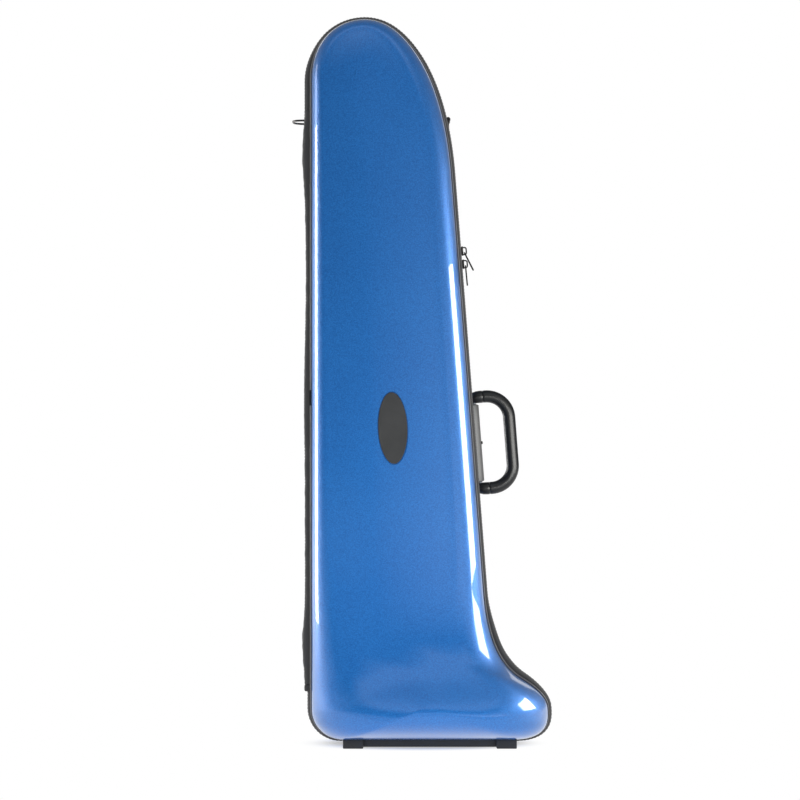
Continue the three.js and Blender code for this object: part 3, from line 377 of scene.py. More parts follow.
# %% Shell paint
PAINT_DEEP = (0.003, 0.12, 0.457, 1)
PAINT_LIGHT = (0.012, 0.222, 0.68, 1)
FLAKE_SIZE, FINE_FLAKE_SIZE, DRIFT_SIZE = 0.0009, 0.00035, 0.16


def shell_paint():
    paint = Finish("shell_paint")
    cells = {"Vector": paint.place(), "Scale": 1 / FLAKE_SIZE}
    flake = paint.add("ShaderNodeTexVoronoi", (), cells, "Color")
    level = paint.add("ShaderNodeSeparateColor", (), {0: flake})
    sparkle = 0.42 * level + 0.34 * paint.grain(FINE_FLAKE_SIZE, 2) + 0.24 * paint.grain(DRIFT_SIZE, 2)
    return paint.paint(
        base_color=paint.shades(sparkle, (0.2, PAINT_DEEP), (0.8, PAINT_LIGHT)), metallic=0.3,
        roughness=0.34 + 0.14 * level, coat_weight=1.0, coat_roughness=0.018,
        normal=paint.bump(level, 0.00006))


print("flakes of", FLAKE_SIZE / MM, "mm")

# %% [markdown]
# The rubber and plastic parts differ by their grain. Moulded plastic has a fine leathery
# texture, rubber is smoother and slightly dusty, and both are lighter where they are rubbed.
# One function makes them all from a colour, a grain size and two roughness values.

# %% Rubber and moulded plastic
def moulded(name, dark, light, grain_size, low_rough, high_rough, depth=0.00008, tint=(1, 1, 1)):
    finish = Finish(name)
    fine, dust = finish.grain(grain_size, 3), finish.grain(0.03, 4)
    tone = finish.shades(0.35 * fine + 0.65 * dust, (0.3, gray(dark, tint)), (0.75, gray(light, tint)))
    return finish.paint(base_color=tone, roughness=low_rough + (high_rough - low_rough) * dust,
                        normal=finish.bump(fine, depth))


print("one recipe for rubber and plastic")

# %% [markdown]
# Plated steel is darker in its hollows and brighter where fingers polish it. Brushed metal
# has long thin scratches: noise squeezed along one direction gives both the colour streaks
# and the roughness streaks.

# %% Metals
def plated(name, dark, light, rough, tint):
    finish = Finish(name)
    wear = finish.grain(0.004, 5, 0.7)
    scratch = finish.grain(0.0006, 3, where=finish.place((1, 1, 0.2)))
    tone = finish.shades(wear, (0.35, gray(dark, tint)), (0.72, gray(light, tint)))
    return finish.paint(base_color=tone, metallic=0.9, roughness=rough + 0.22 * scratch,
                        normal=finish.bump(scratch, 0.00002))


def brushed(name, dark, light, rough):
    finish = Finish(name)
    streak = finish.grain(0.0005, 4, where=finish.place((1, 1, 0.03)))
    stain = finish.grain(0.02, 3)
    tone = finish.shades(0.6 * streak + 0.4 * stain, (0.3, gray(dark)), (0.7, gray(light)))
    return finish.paint(base_color=tone, metallic=0.55, roughness=rough + 0.2 * streak,
                        normal=finish.bump(streak, 0.00002))


print("two recipes for metal")

# %% [markdown]
# Webbing and zip tape are woven, and a weave must follow the strip, so this finish reads a
# UV map in metres: U along the strip and V across it. Two waves at right angles make the
# over and under of a plain weave. Its lighter and darker threads also change the colour,
# since a weave never is one tone. The linings are foam under a short plush, which looks
# mottled because its pile lies in different directions, so a coarse noise shifts the colour
# and a very fine one stands for the hairs. The sheen gives the soft light edge of velvet.

# %% Textiles
THREAD = 0.0011


def woven(name, dark, light, tint):
    finish = Finish(name)
    along, across, _ = finish.axes(finish.place(uv=True))
    warp, weft = ((way * (2 * math.pi / THREAD)).math("SINE") for way in (along, across))
    over = 0.5 + 0.5 * (warp * weft)
    fuzz = finish.grain(0.0005, 3)
    amount = 0.5 * over + 0.2 * fuzz + 0.3 * finish.grain(0.05, 3)
    tone = finish.shades(amount, (0.25, gray(dark, tint)), (0.8, gray(light, tint)))
    return finish.paint(base_color=tone, roughness=0.85, sheen_weight=0.25, sheen_roughness=0.5,
                        normal=finish.bump(0.8 * over + 0.2 * fuzz, 0.0003))


def plush(name, dark, light, tint):
    finish = Finish(name)
    hairs, lie = finish.grain(0.0007, 3), finish.grain(0.035, 3, 0.7)
    tone = finish.shades(0.35 * hairs + 0.65 * lie, (0.3, gray(dark, tint)), (0.7, gray(light, tint)))
    return finish.paint(base_color=tone, roughness=0.95, sheen_weight=0.7, sheen_roughness=0.35,
                        normal=finish.bump(hairs, 0.0006))


print("threads of", THREAD / MM, "mm")

# %% [markdown]
# Each finish is made once and shared by the pieces that have it. The names are those of the
# material slots in the record, so that a scene can find and change them.

# %% The finishes of this case
MOULDED = {
    "rubber": (0.010, 0.022, 0.0008, 0.5, 0.75),
    "piping": (0.15, 0.30, 0.0006, 0.38, 0.6, 0.00008, (1, 0.98, 0.98)),
    "zip_nylon": (0.012, 0.03, 0.0005, 0.35, 0.55),
    "grey_bar": (0.20, 0.30, 0.0008, 0.4, 0.55, 0.00005, (1.0, 1.0, 0.98)),
    "grip_rubber": (0.007, 0.014, 0.0011, 0.3, 0.42, 0.00004),
    "foot_plastic": (0.022, 0.045, 0.0007, 0.45, 0.65, 0.00012, (0.95, 1.0, 1.08)),
    "badge": (0.05, 0.075, 0.0004, 0.42, 0.58, 0.00006, (1.0, 0.99, 0.97)),
    "thread": (0.05, 0.10, 0.0004, 0.6, 0.8),
}
finishes = {name: moulded(name, *numbers) for name, numbers in MOULDED.items()}
finishes["shell_paint"] = shell_paint()
finishes["textile"] = woven("textile", 0.036, 0.085, (1.03, 0.99, 0.99))
finishes["dark_metal"] = plated("dark_metal", 0.025, 0.09, 0.26, (1.08, 0.98, 0.9))
finishes["steel"] = brushed("steel", 0.4, 0.62, 0.28)
finishes["foam_plush"] = plush("foam_plush", 0.014, 0.04, (0.95, 1.0, 1.12))
print("finishes", ", ".join(finishes))

# %% [markdown]
# Every piece ends the same way: faces smooth except where they meet at a real edge, then
# into the scene with its finish, its body, and the solids it stands for. Modifiers are put
# into the mesh when all are set, so that the piece is what it shows.

# %% Finishing a piece
SHARP, WELL_SHARP, SPINE_SHARP = math.radians(38), math.radians(50), math.radians(60)
COPY_SHARP, HEM_SHARP = math.radians(75), math.radians(80)
WELD = MM / 500


def form_of(*meshes):
    form = bmesh.new()
    for mesh in meshes:
        form.from_mesh(mesh)
    return form


def turn_outward(form):
    bmesh.ops.recalc_face_normals(form, faces=form.faces)


def smooth_faces(form, sharp):
    for face in form.faces:
        face.smooth = True
    for edge in form.edges:
        edge.smooth = len(edge.link_faces) == 2 and edge.calc_face_angle(0) < sharp


def add_piece(name, form, slot, body, stands_for=(), sharp=SHARP):
    smooth_faces(form, sharp)
    piece = object_from(form, name, finishes[slot])
    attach(piece, body)
    if stands_for:
        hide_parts(*stands_for)
    "textile" if slot == "thread" else slot
    print(f"{name}: {len(piece.data.polygons)} faces on {body}")
    return piece


def modify(piece, kind, **settings):
    modifier = piece.modifiers.new(kind.lower(), kind)
    for key, value in settings.items():
        setattr(modifier, key, value)


def bake_modifiers(piece):
    """Puts the result of a piece's modifiers into its own mesh."""
    seen = piece.evaluated_get(bpy.context.evaluated_depsgraph_get())
    mesh = bpy.data.meshes.new_from_object(seen)
    piece.modifiers.clear()
    piece.data = mesh
    return piece


def mark_edges(piece, sharp=SHARP):
    form = form_of(piece.data)
    smooth_faces(form, sharp)
    form.to_mesh(piece.data)
    form.free()


print("sharp from", round(math.degrees(SHARP)), "degrees")

# %% [markdown]
# The rim outline is the one line that everything shares. It is a chain of Bezier curves from
# the hinge side over the crown, down the straight flank, round the toe and back along the
# bottom. Sizes are in millimetres from the hinge-side edge of the shells, which the frame
# places.

# %% Rim outline
rim_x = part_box("back_shell")[0][0]
FLANK_LEAN, KNEE_LEAN, SHOULDER_LEAN = math.radians(4.4), math.radians(34.3), math.radians(59)
CORNER_RADIUS = 36
FLANK_LOW, FLANK_TOP_Z = (212.6, 189.3), 706
CROWN, HINGE_TOP, KNEE = (65.8, 896.6), (0, 823), (130.4, 853.8)
SHOULDER, TOE = (261.2, 80.8), (292.2, 45)
BOTTOM_Z = 9
BOTTOM_ZIP_SIDE = (252, BOTTOM_Z)


def flank_x(z):
    return FLANK_LOW[0] + (FLANK_LOW[1] - z) * math.tan(FLANK_LEAN)


def downhill(start, lean, distance):
    return (start[0] + math.sin(lean) * distance, start[1] - math.cos(lean) * distance)


def straight(start, end):
    return (start, start, end, end)


flank_top = (flank_x(FLANK_TOP_Z), FLANK_TOP_Z)
crown_hinge_side = (HINGE_TOP, (0, 874.5), (34.8, CROWN[1]), CROWN)
crown_zip_side = (CROWN, (93.8, CROWN[1]), downhill(KNEE, KNEE_LEAN, -29), KNEE)
knee_to_flank = (KNEE, downhill(KNEE, KNEE_LEAN, 34), (flank_x(778), 778), flank_top)
flank = straight(flank_top, FLANK_LOW)
flank_to_shoulder = (FLANK_LOW, (flank_x(119.3), 119.3),
                     downhill(SHOULDER, SHOULDER_LEAN, -26.4), SHOULDER)
shoulder_to_toe = (SHOULDER, downhill(SHOULDER, SHOULDER_LEAN, 10.4), (TOE[0], 61), TOE)
toe_to_bottom = (TOE, (TOE[0], 37), (298, BOTTOM_Z), BOTTOM_ZIP_SIDE)
bottom = straight(BOTTOM_ZIP_SIDE, (CORNER_RADIUS, BOTTOM_Z))
corner = ((CORNER_RADIUS, BOTTOM_Z), (16, BOTTOM_Z), (0, 25), (0, 45))
print("outline height", CROWN[1] - BOTTOM_Z, "mm")

# %% [markdown]
# A station is a place on the outline with its outward direction and its distance along the
# path. Blending the four control points step by step, as de Casteljau did, gives both the
# point and the tangent without any calculus. A straight stretch has doubled end points.

# %% Stations
class Station:
    def __init__(self, x, z, nx, nz, run=0.0):
        self.x, self.z, self.nx, self.nz, self.run = x, z, nx, nz, run

    def at(self, outward, depth):
        """The point that lies outward from the rim and this deep, in metres."""
        return Vector((rim_x + (self.x + self.nx * outward) * MM, depth * MM,
                       (self.z + self.nz * outward) * MM))


def station_on(curve, t):
    a, b, c, d = (Vector(p) for p in curve)
    if a == b:
        point, tangent = a.lerp(d, t), d - a
    else:
        ab, bc, cd = a.lerp(b, t), b.lerp(c, t), c.lerp(d, t)
        first, second = ab.lerp(bc, t), bc.lerp(cd, t)
        point, tangent = first.lerp(second, t), second - first
    tangent.normalize()
    return Station(point.x, point.y, -tangent.y, tangent.x)


def stations_along(stretches, with_end=False):
    stations = [station_on(curve, i / steps) for curve, steps in stretches for i in range(steps)]
    if with_end:
        stations.append(station_on(stretches[-1][0], 1))
    for before, here in zip(stations, stations[1:]):
        here.run = before.run + math.hypot(here.x - before.x, here.z - before.z)
    return stations


curves_of_rim = [
    (crown_hinge_side, 34), (crown_zip_side, 22), (knee_to_flank, 24), (flank, 12),
    (flank_to_shoulder, 30), (shoulder_to_toe, 10), (toe_to_bottom, 22), (bottom, 6), (corner, 16)]
whole_rim = stations_along([*curves_of_rim, (straight((0, 45), HINGE_TOP), 20)])
print("rim stations", len(whole_rim))

# %% [markdown]
# Trim that runs round the rim is grown like a fence: a ring of edges along the path is
# extruded again and again, and each new ring moves to the next corner of the section. The
# new corners remember their station in a layer, because an operator returns them in no
# fixed order. The same walk writes the UV map in metres for the woven finishes.

# %% Rings along the rim
def parts_of(geometry, kind):
    return [part for part in geometry if isinstance(part, kind)]


def extrude_ring(form, edges):
    """The new corners, the new faces and the edges between the new corners."""
    grown = bmesh.ops.extrude_edge_only(form, edges=edges)["geom"]
    fresh = set(parts_of(grown, bmesh.types.BMVert))
    far_edges = [e for e in parts_of(grown, bmesh.types.BMEdge) if fresh.issuperset(e.verts)]
    return fresh, parts_of(grown, bmesh.types.BMFace), far_edges


def grow(stations, section, closed_path, closed_section=True, side=1, reach=None):
    """A strip of faces along stations; the section is a list of (outward, depth)."""
    form = bmesh.new()
    at_station = form.verts.layers.int.new("station")
    unrolled = form.loops.layers.uv.new("unrolled")
    place = reach or (lambda station, outward, depth: station.at(outward, side * depth))
    ring = [form.verts.new(place(station, *section[0])) for station in stations]
    for i, vert in enumerate(ring):
        vert[at_station] = i
    edges = [form.edges.new(pair) for pair in zip(ring, ring[1:])]
    if closed_path:
        edges.append(form.edges.new((ring[-1], ring[0])))
    first, last = stations[0], stations[-1]
    length = last.run + math.hypot(first.x - last.x, first.z - last.z)
    across, before = 0.0, section[0]
    for outward, depth in [*section[1:], *(section[:1] if closed_section else [])]:
        width = math.hypot(outward - before[0], depth - before[1])
        fresh, faces, edges = extrude_ring(form, edges)
        for vert in fresh:
            vert.co = place(stations[vert[at_station]], outward, depth)
        for face in faces:
            wraps = closed_path and {0, len(ring) - 1} <= {v[at_station] for v in face.verts}
            for loop in face.loops:
                i = loop.vert[at_station]
                run = length if wraps and i == 0 else stations[i].run
                loop[unrolled].uv = (run * MM, (across + (width if loop.vert in fresh else 0)) * MM)
        across += width
        before = (outward, depth)
    bmesh.ops.remove_doubles(form, verts=form.verts, dist=WELD)
    if closed_section and not closed_path:
        bmesh.ops.holes_fill(form, edges=[e for e in form.edges if e.is_boundary], sides=0)
    turn_outward(form)
    return form


def rounded(section, radius, steps=3):
    """The same section with each corner replaced by a small arc."""
    soft = []
    for i, point in enumerate(section):
        here = Vector(point)
        to_last = Vector(section[i - 1]) - here
        to_next = Vector(section[(i + 1) % len(section)]) - here
        cut = min(radius, to_last.length * 0.45, to_next.length * 0.45)
        start, end = here + to_last.normalized() * cut, here + to_next.normalized() * cut
        for k in range(steps + 1):
            t = k / steps
            soft.append(tuple(start.lerp(here, t).lerp(here.lerp(end, t), t)))
    return soft


def blend(low, high, share):
    return low + (high - low) * share


def smooth(share):
    share = min(1, max(0, share))
    return share * share * (3 - 2 * share)


print("rings ready")

# %% [markdown]
# A shell starts as its rim and is drawn in, ring by ring, to a ridge line down its middle.
# On the way the wall rounds over like a quarter ellipse and then runs flat. Near the foot
# the shell swells to make room for the bell, and its edge gets much rounder there. The two
# sides are paired height by height, so that they meet exactly on the ridge.

# %% Shell shape
RIM_DEPTH, BODY_DEPTH, BELL_DEPTH = 16, 62, 124
BELL_Z, BELL_FLARE_REACH = 46, 48
RIDGE_LOW_Z, RIDGE_HIGH_Z, RIDGE_START_Z = 66, 832, 868
RIDGE_SHARES, EDGE_SHARES = (0.42, 0.52), (0.25, 0.85)
CROWNING = 5.5
HALVINGS = 40


def flare(z):
    return 1 / (1 + (max(0, z - BELL_Z) / BELL_FLARE_REACH) ** 2)


def face_depth(z):
    return BODY_DEPTH + (BELL_DEPTH - BODY_DEPTH) * flare(z)


def crossing(curve, z):
    """Where a curve that only falls or only rises reaches a height."""
    falling = curve[0][1] > curve[3][1]
    low, high = 0.0, 1.0
    for _ in range(HALVINGS):
        middle = (low + high) / 2
        if (station_on(curve, middle).z > z) == falling:
            low = middle
        else:
            high = middle
    return station_on(curve, low)


def hinge_side_station(z):
    if HINGE_TOP[1] >= z >= corner[3][1]:
        return Station(0, z, -1, 0)
    return crossing(crown_hinge_side if z > HINGE_TOP[1] else corner, z)


def shell_stations():
    zip_side = stations_along([
        (crown_zip_side, 26), (knee_to_flank, 20), (flank, 26), (flank_to_shoulder, 30),
        (shoulder_to_toe, 10), (toe_to_bottom, 20)], with_end=True)
    hinge_side = [hinge_side_station(s.z) for s in zip_side[1:]]
    pairs = list(zip([zip_side[0], *hinge_side], zip_side))
    first_ridge = next(pair for pair in pairs if pair[1].z < RIDGE_START_Z)
    for pair in pairs:
        left, right = first_ridge if pair[1].z > RIDGE_START_Z else pair
        for station in pair:
            station.ridge_x = blend(left.x, right.x, blend(*RIDGE_SHARES, flare(right.z)))
    under = stations_along([(bottom, 24)])[1:]
    for station in under:
        station.ridge_x = hinge_side[-1].ridge_x
    ring = [*zip_side, *under, *reversed(hinge_side)]
    for station in ring:
        rise = (station.z - BOTTOM_Z) / (CROWN[1] - BOTTOM_Z)
        station.ridge_z = blend(RIDGE_LOW_Z, RIDGE_HIGH_Z, rise)
        station.edge_share = blend(*EDGE_SHARES, flare(station.z))
    return ring


def shell_point(station, angle, share, side):
    inward = blend(station.edge_share * (1 - math.cos(angle)), 1, share)
    x, z = blend(station.x, station.ridge_x, inward), blend(station.z, station.ridge_z, inward)
    crown = CROWNING * (1 - share) ** 2 * (1 - flare(z))
    depth = RIM_DEPTH + (face_depth(z) - crown - RIM_DEPTH) * math.sin(angle)
    return Vector((rim_x + x * MM, side * depth * MM, z * MM))


shell_ring = shell_stations()
print("shell stations", len(shell_ring), "deepest", face_depth(BELL_Z), "mm")

# %% [markdown]
# `grow` above places each ring by an outward distance and a depth. For the shell the same
# two numbers are read as an edge angle and a share of the way to the ridge. The faces that
# crowd together at the end of the ridge are cut out and closed again, and the hollow slope
# above the foot is smoothed. The wall gets its thickness last, from a Solidify modifier.

# %% Grow a shell
SHELL_WALL = 3.5
EDGE_RINGS, FACE_RINGS = 22, 9
POLE_HOLE = 9
FLARE_ROUNDS = 14
# lowest height, greatest height and least depth, and the change of each in a round
SLOPE_LIMITS = ((30, 1), (215, -6), (30, 1))


def shell_form(side):
    quarter = math.pi / 2
    rows = [(quarter * i / EDGE_RINGS, 0) for i in range(EDGE_RINGS + 1)]
    rows += [(quarter, (i + 1) / FACE_RINGS) for i in range(FACE_RINGS)]
    form = grow(shell_ring, rows, True, False, reach=lambda *where: shell_point(*where, side))
    pole = shell_point(shell_ring[-1], quarter, 1, side)
    crowded = [v for v in form.verts if (v.co - pole).length < POLE_HOLE * MM]
    bmesh.ops.delete(form, geom=crowded, context="VERTS")
    hole = [e for e in form.edges
            if e.is_boundary and (e.verts[0].co - pole).length < 3 * POLE_HOLE * MM]
    cap = bmesh.ops.holes_fill(form, edges=hole, sides=0)["faces"]
    for middle in bmesh.ops.poke(form, faces=cap)["verts"]:
        middle.co.y = side * face_depth(middle.co.z / MM) * MM
    for i in range(FLARE_ROUNDS):
        low, top, deep = ((start + i * step) * MM for start, step in SLOPE_LIMITS)
        slope = [v for v in form.verts if low < v.co.z < top and abs(v.co.y) > deep]
        bmesh.ops.smooth_vert(form, verts=slope, factor=0.5,
                              use_axis_x=True, use_axis_y=True, use_axis_z=True)
    outermost = max(form.faces, key=lambda f: side * f.calc_center_median().y)
    if outermost.normal.y * side < 0:
        bmesh.ops.reverse_faces(form, faces=form.faces)
    return form


def add_shell(name, side, body):
    piece = add_piece(name + "_moulding", shell_form(side), "shell_paint", body, [name])
    modify(piece, "SOLIDIFY", thickness=SHELL_WALL * MM, offset=-1)
    return bake_modifiers(piece)


mark_edges(add_shell("back_shell", 1, "back_half"))
lid_shell = add_shell("front_shell", -1, "lid")
light_by("low_box", lid_shell)
print("wall", SHELL_WALL, "mm; faces", len(lid_shell.data.polygons))

# %% [markdown]
# The oval plate on the lid sits in a shallow well whose lip is rounded over, and that lip
# catches a white line of light. Plate and cutter are ovals grown in rings, and each ring has
# its reach beyond the plate's edge and its depth.

# %% Ovals on the lid
BADGE = Vector((100.7, 392.7))
BADGE_HALF_WIDTH, BADGE_HALF_HEIGHT, BADGE_TILT = 17.75, 43.5, math.radians(2.3)
FACE_FALL, FACE_SLOPE = 0.35, 0.026
badge_face = face_depth(BADGE.y) - FACE_FALL


def oval_form(rows, sides=112):
    """Rings of an oval, each row (extra reach, depth), closed at both ends."""
    form = bmesh.new()
    place = (Matrix.Translation((rim_x + BADGE.x * MM, 0, BADGE.y * MM))
             @ Matrix.Rotation(-BADGE_TILT, 4, "Y"))
    at_angle = form.verts.layers.float.new("angle")
    start = bmesh.ops.create_circle(form, segments=sides, radius=1)["verts"]
    for vert in start:
        vert[at_angle] = math.atan2(vert.co.y, vert.co.x)

    def lay(verts, extra, depth):
        for vert in verts:
            x = (BADGE_HALF_WIDTH + extra) * math.cos(vert[at_angle])
            z = (BADGE_HALF_HEIGHT + extra) * math.sin(vert[at_angle])
            vert.co = place @ Vector((x * MM, (FACE_SLOPE * x - depth) * MM, z * MM))

    lay(start, *rows[0])
    edges = first_edges = list(form.edges)
    for extra, depth in rows[1:]:
        fresh, _, edges = extrude_ring(form, edges)
        lay(fresh, extra, depth)
    for rim in (first_edges, edges):
        bmesh.ops.contextual_create(form, geom=rim)
    turn_outward(form)
    return form


print("face of the lid at the plate", round(badge_face, 2), "mm deep")

# %% [markdown]
# The cutter goes straight up from the floor of the well and then flares out in a quarter
# circle to the face, so one cut gives the well and its lip. The long faces that the cut
# leaves would shade badly, so the front face takes its normals from the uncut shell.

# %% Well in the lid
BADGE_SINK, WELL_GAP, LIP_RADIUS, LIP_STEPS = 1.2, 0.45, 1.15, 5
FACING_FRONT, ON_THE_FACE = -0.8, 0.02 * MM
well_floor, lip_depth = badge_face - BADGE_SINK, badge_face - LIP_RADIUS


def shade_like(piece, source):
    front = piece.vertex_groups.new(name="front")
    for vert in piece.data.vertices:
        hit, point, normal, _ = source.closest_point_on_mesh(vert.co)
        if hit and normal.y < FACING_FRONT and (point - vert.co).length < ON_THE_FACE:
            front.add([vert.index], 1, "REPLACE")
    modify(piece, "DATA_TRANSFER", object=source, use_loop_data=True, vertex_group="front",
           data_types_loops={"CUSTOM_NORMAL"}, loop_mapping="POLYINTERP_NEAREST")
    bake_modifiers(piece)
    piece.vertex_groups.clear()


lip = [math.pi / 2 * step / LIP_STEPS for step in range(1, LIP_STEPS + 1)]
lip_rows = [(WELL_GAP + LIP_RADIUS * (1 - math.cos(turn)), lip_depth + LIP_RADIUS * math.sin(turn))
            for turn in lip]
well_rows = [(WELL_GAP, well_floor), (WELL_GAP, lip_depth), *lip_rows,
             (WELL_GAP + LIP_RADIUS + 0.1, badge_face + 4)]
cutter = object_from(oval_form(well_rows), "well_cutter", finishes["shell_paint"])
uncut = placed("uncut", lid_shell.data.copy())
modify(lid_shell, "BOOLEAN", object=cutter, solver="EXACT")
bake_modifiers(lid_shell)
mark_edges(lid_shell, WELL_SHARP)
shade_like(lid_shell, uncut)
for helper in (cutter, uncut):
    bpy.data.objects.remove(helper)
print("lid faces", len(lid_shell.data.polygons))

# %% [markdown]
# The plate itself is thin, with a softly rounded edge and a shallow raised border. Its face
# stays bare. A bevelled border reads as a made thing even where nothing is written on it.

# %% Badge plate
PLATE_LIFT, PLATE_THICK = 0.3, 1.4
PLATE_PROFILE = [(0, -0.5), (-0.15, -0.15), (-0.5, 0), (-1.9, 0),
                 (-2.2, -0.25), (-6, -0.22), (-12, -0.15)]

plate_low = well_floor + PLATE_LIFT
plate_rows = [(0, plate_low),
              *[(extra, plate_low + PLATE_THICK + rise) for extra, rise in PLATE_PROFILE]]
add_piece("badge_oval", oval_form(plate_rows, 96), "badge", "lid", ["badge_plate"])

# %% [markdown]
# Both halves carry the same trim at the rim, so each piece is grown once a side. The rubber
# profile closes the edge of the wall, and a thin grey piping covers the joint between the
# shell and the textile. It runs all the way round.

# %% Profile and piping
HALVES = ((1, "back", "back_half"), (-1, "front", "lid"))
PROFILE, PROFILE_ROUND = [(-4.6, 12.0), (0, 12.0), (0, 15.7), (-4.6, 15.7)], 0.8
PIPING_REACH, PIPING_DEPTH, PIPING_RADIUS, PIPING_SIDES = 1.1, 14.6, 0.95, 10

turns = [2 * math.pi * i / PIPING_SIDES for i in range(PIPING_SIDES)]
piping = [(PIPING_REACH + PIPING_RADIUS * math.cos(turn),
           PIPING_DEPTH + PIPING_RADIUS * math.sin(turn)) for turn in turns]
trims = (("profile", rounded(PROFILE, PROFILE_ROUND), "rubber"), ("piping", piping, "piping"))
for side, half, body in HALVES:
    for trim, section, slot in trims:
        strip = grow(whole_rim, section, True, side=side)
        add_piece(f"rim_{trim}_{half}", strip, slot, body, [f"{half}_{trim}"])

# %% [markdown]
# Stitches, teeth and other small repeats are bevelled blocks set along a path. `paced` walks
# the path and returns stations at an even pitch, and `lay_blocks` puts a block on each.

# %% Blocks along a path
STITCH, STITCH_BEVEL, STITCH_PITCH = (2.6, 0.45, 0.55), 0.16, 4.0


def bevel_edges(form, edges, width, segments, **settings):
    bmesh.ops.bevel(form, geom=edges, offset=width * MM, segments=segments, profile=0.5,
                    affect="EDGES", material=-1, **settings)


def edges_at(verts):
    return list({edge for vert in verts for edge in vert.link_edges})


def paced(stations, pitch, start=0.5):
    wanted, found = pitch * start, []
    for before, after in zip(stations, stations[1:]):
        while wanted <= after.run:
            share = (wanted - before.run) / (after.run - before.run)
            nx, nz = blend(before.nx, after.nx, share), blend(before.nz, after.nz, share)
            size = math.hypot(nx, nz)
            found.append(Station(blend(before.x, after.x, share), blend(before.z, after.z, share),
                                 nx / size, nz / size, wanted))
            wanted += pitch
    return found


def lay_blocks(form, places, size, bevel):
    """Bevelled blocks; each place is (middle, along, up) and the size is along, up, across."""
    stretch = Matrix.Diagonal([c * MM for c in size]).to_4x4()
    fresh = []
    for middle, along, up in places:
        turned = Matrix((along, up, along.cross(up))).transposed().to_4x4()
        turned.translation = middle
        fresh += bmesh.ops.create_cube(form, size=1, matrix=turned @ stretch)["verts"]
    bevel_edges(form, edges_at(fresh), bevel, 1)


def on_path(stations, outward, depth, side):
    """Places for blocks on a path; the reach is a number or goes by the station."""
    for station in stations:
        reach = outward(station) if callable(outward) else outward
        yield (station.at(reach, side * depth), Vector((station.nz, 0, -station.nx)),
               Vector((station.nx, 0, station.nz)))


def add_seam(name, path, reach, depth, side, body):
    seam = bmesh.new()
    lay_blocks(seam, on_path(paced(path, STITCH_PITCH), reach, depth, side), STITCH, STITCH_BEVEL)
    add_piece(name, seam, "thread", body)


print("stitches every", STITCH_PITCH, "mm")

# %% [markdown]
# The zip runs from the top of the spine over the crown, down the zip side, round the toe and
# back along the bottom. Its tape is a woven band folded over the rim. On the hinge side
# above the spine it's broader, because the ends of tape and spine are sewn together there,
# and in the hollow curve above the toe, where cloth doesn't stay down in the curve.

# %% Zip tapes
ZIP_START, ZIP_END = (0, 787), (0, 65)
TAPE = [(-4.6, 11.7), (3.2, 11.7), (5.2, 9), (5.2, 4.5), (4.2, 1.9), (-4.6, 1.9)]
TAPE_REACH, TAPE_ROUND, SEAM_REACH, SEAM_DEPTH = 5.2, (1.0, 4), 5.25, 8.0
CROWN_SPREAD, SPREAD_LOW_Z, SPREAD_HIGH_Z = 3.6, 822, 872
TOE_SPREAD, HOLLOW_LOW_Z, HOLLOW_LOW_FADE, HOLLOW_HIGH_Z, HOLLOW_HIGH_FADE = 3.2, 58, 45, 190, 60

zip_path = stations_along([(straight(ZIP_START, HINGE_TOP), 8), *curves_of_rim,
                           (straight(corner[3], ZIP_END), 4)], with_end=True)


def tape_spread(station):
    if station.x > CROWN[0]:
        return (TOE_SPREAD * smooth((HOLLOW_HIGH_Z - station.z) / HOLLOW_HIGH_FADE)
                * smooth((station.z - HOLLOW_LOW_Z) / HOLLOW_LOW_FADE))
    rise = (SPREAD_HIGH_Z - station.z) / (SPREAD_HIGH_Z - SPREAD_LOW_Z)
    return CROWN_SPREAD * smooth(rise) if station.z >= ZIP_START[1] - 1 else 0


for side, half, body in HALVES:
    def folded(station, outward, depth):
        full = outward / TAPE_REACH if outward > 0 else 0
        return station.at(outward + tape_spread(station) * full, side * depth)

    tape = grow(zip_path, rounded(TAPE, *TAPE_ROUND), False, reach=folded)
    add_piece(f"tape_{half}", tape, "textile", body, [f"zip_tape_{half}"])
    add_seam(f"tape_stitches_{half}", zip_path,
             lambda station: SEAM_REACH + tape_spread(station), SEAM_DEPTH, side, body)

# %% [markdown]
# A nylon coil shows as a row of small teeth on each side that stand between one another on
# the seam. The teeth of the lid are half a pitch further along than those of the back half,
# so that they mesh when it is shut. A cord under them holds each row together.

# %% Zip coils
TOOTH, TOOTH_BEVEL = (0.98, 1.7, 2.0), 0.28
TOOTH_REACH, TOOTH_DEPTH, TOOTH_PITCH = 4.75, 0.62, 2.2
COIL_CORD = [(2.6, 0.06), (3.7, 0.06), (5.0, 0.8), (5.0, 1.9), (2.6, 1.9)]
CORD_ROUND = (0.3, 2)

for side, half, body in HALVES:
    coil = grow(zip_path, rounded(COIL_CORD, *CORD_ROUND), False, side=side)
    teeth = paced(zip_path, TOOTH_PITCH, 0.5 if side > 0 else 1.0)
    lay_blocks(coil, on_path(teeth, TOOTH_REACH, TOOTH_DEPTH, side), TOOTH, TOOTH_BEVEL)
    add_piece(f"coil_{half}", coil, "zip_nylon", body, [f"zip_coil_{half}"])
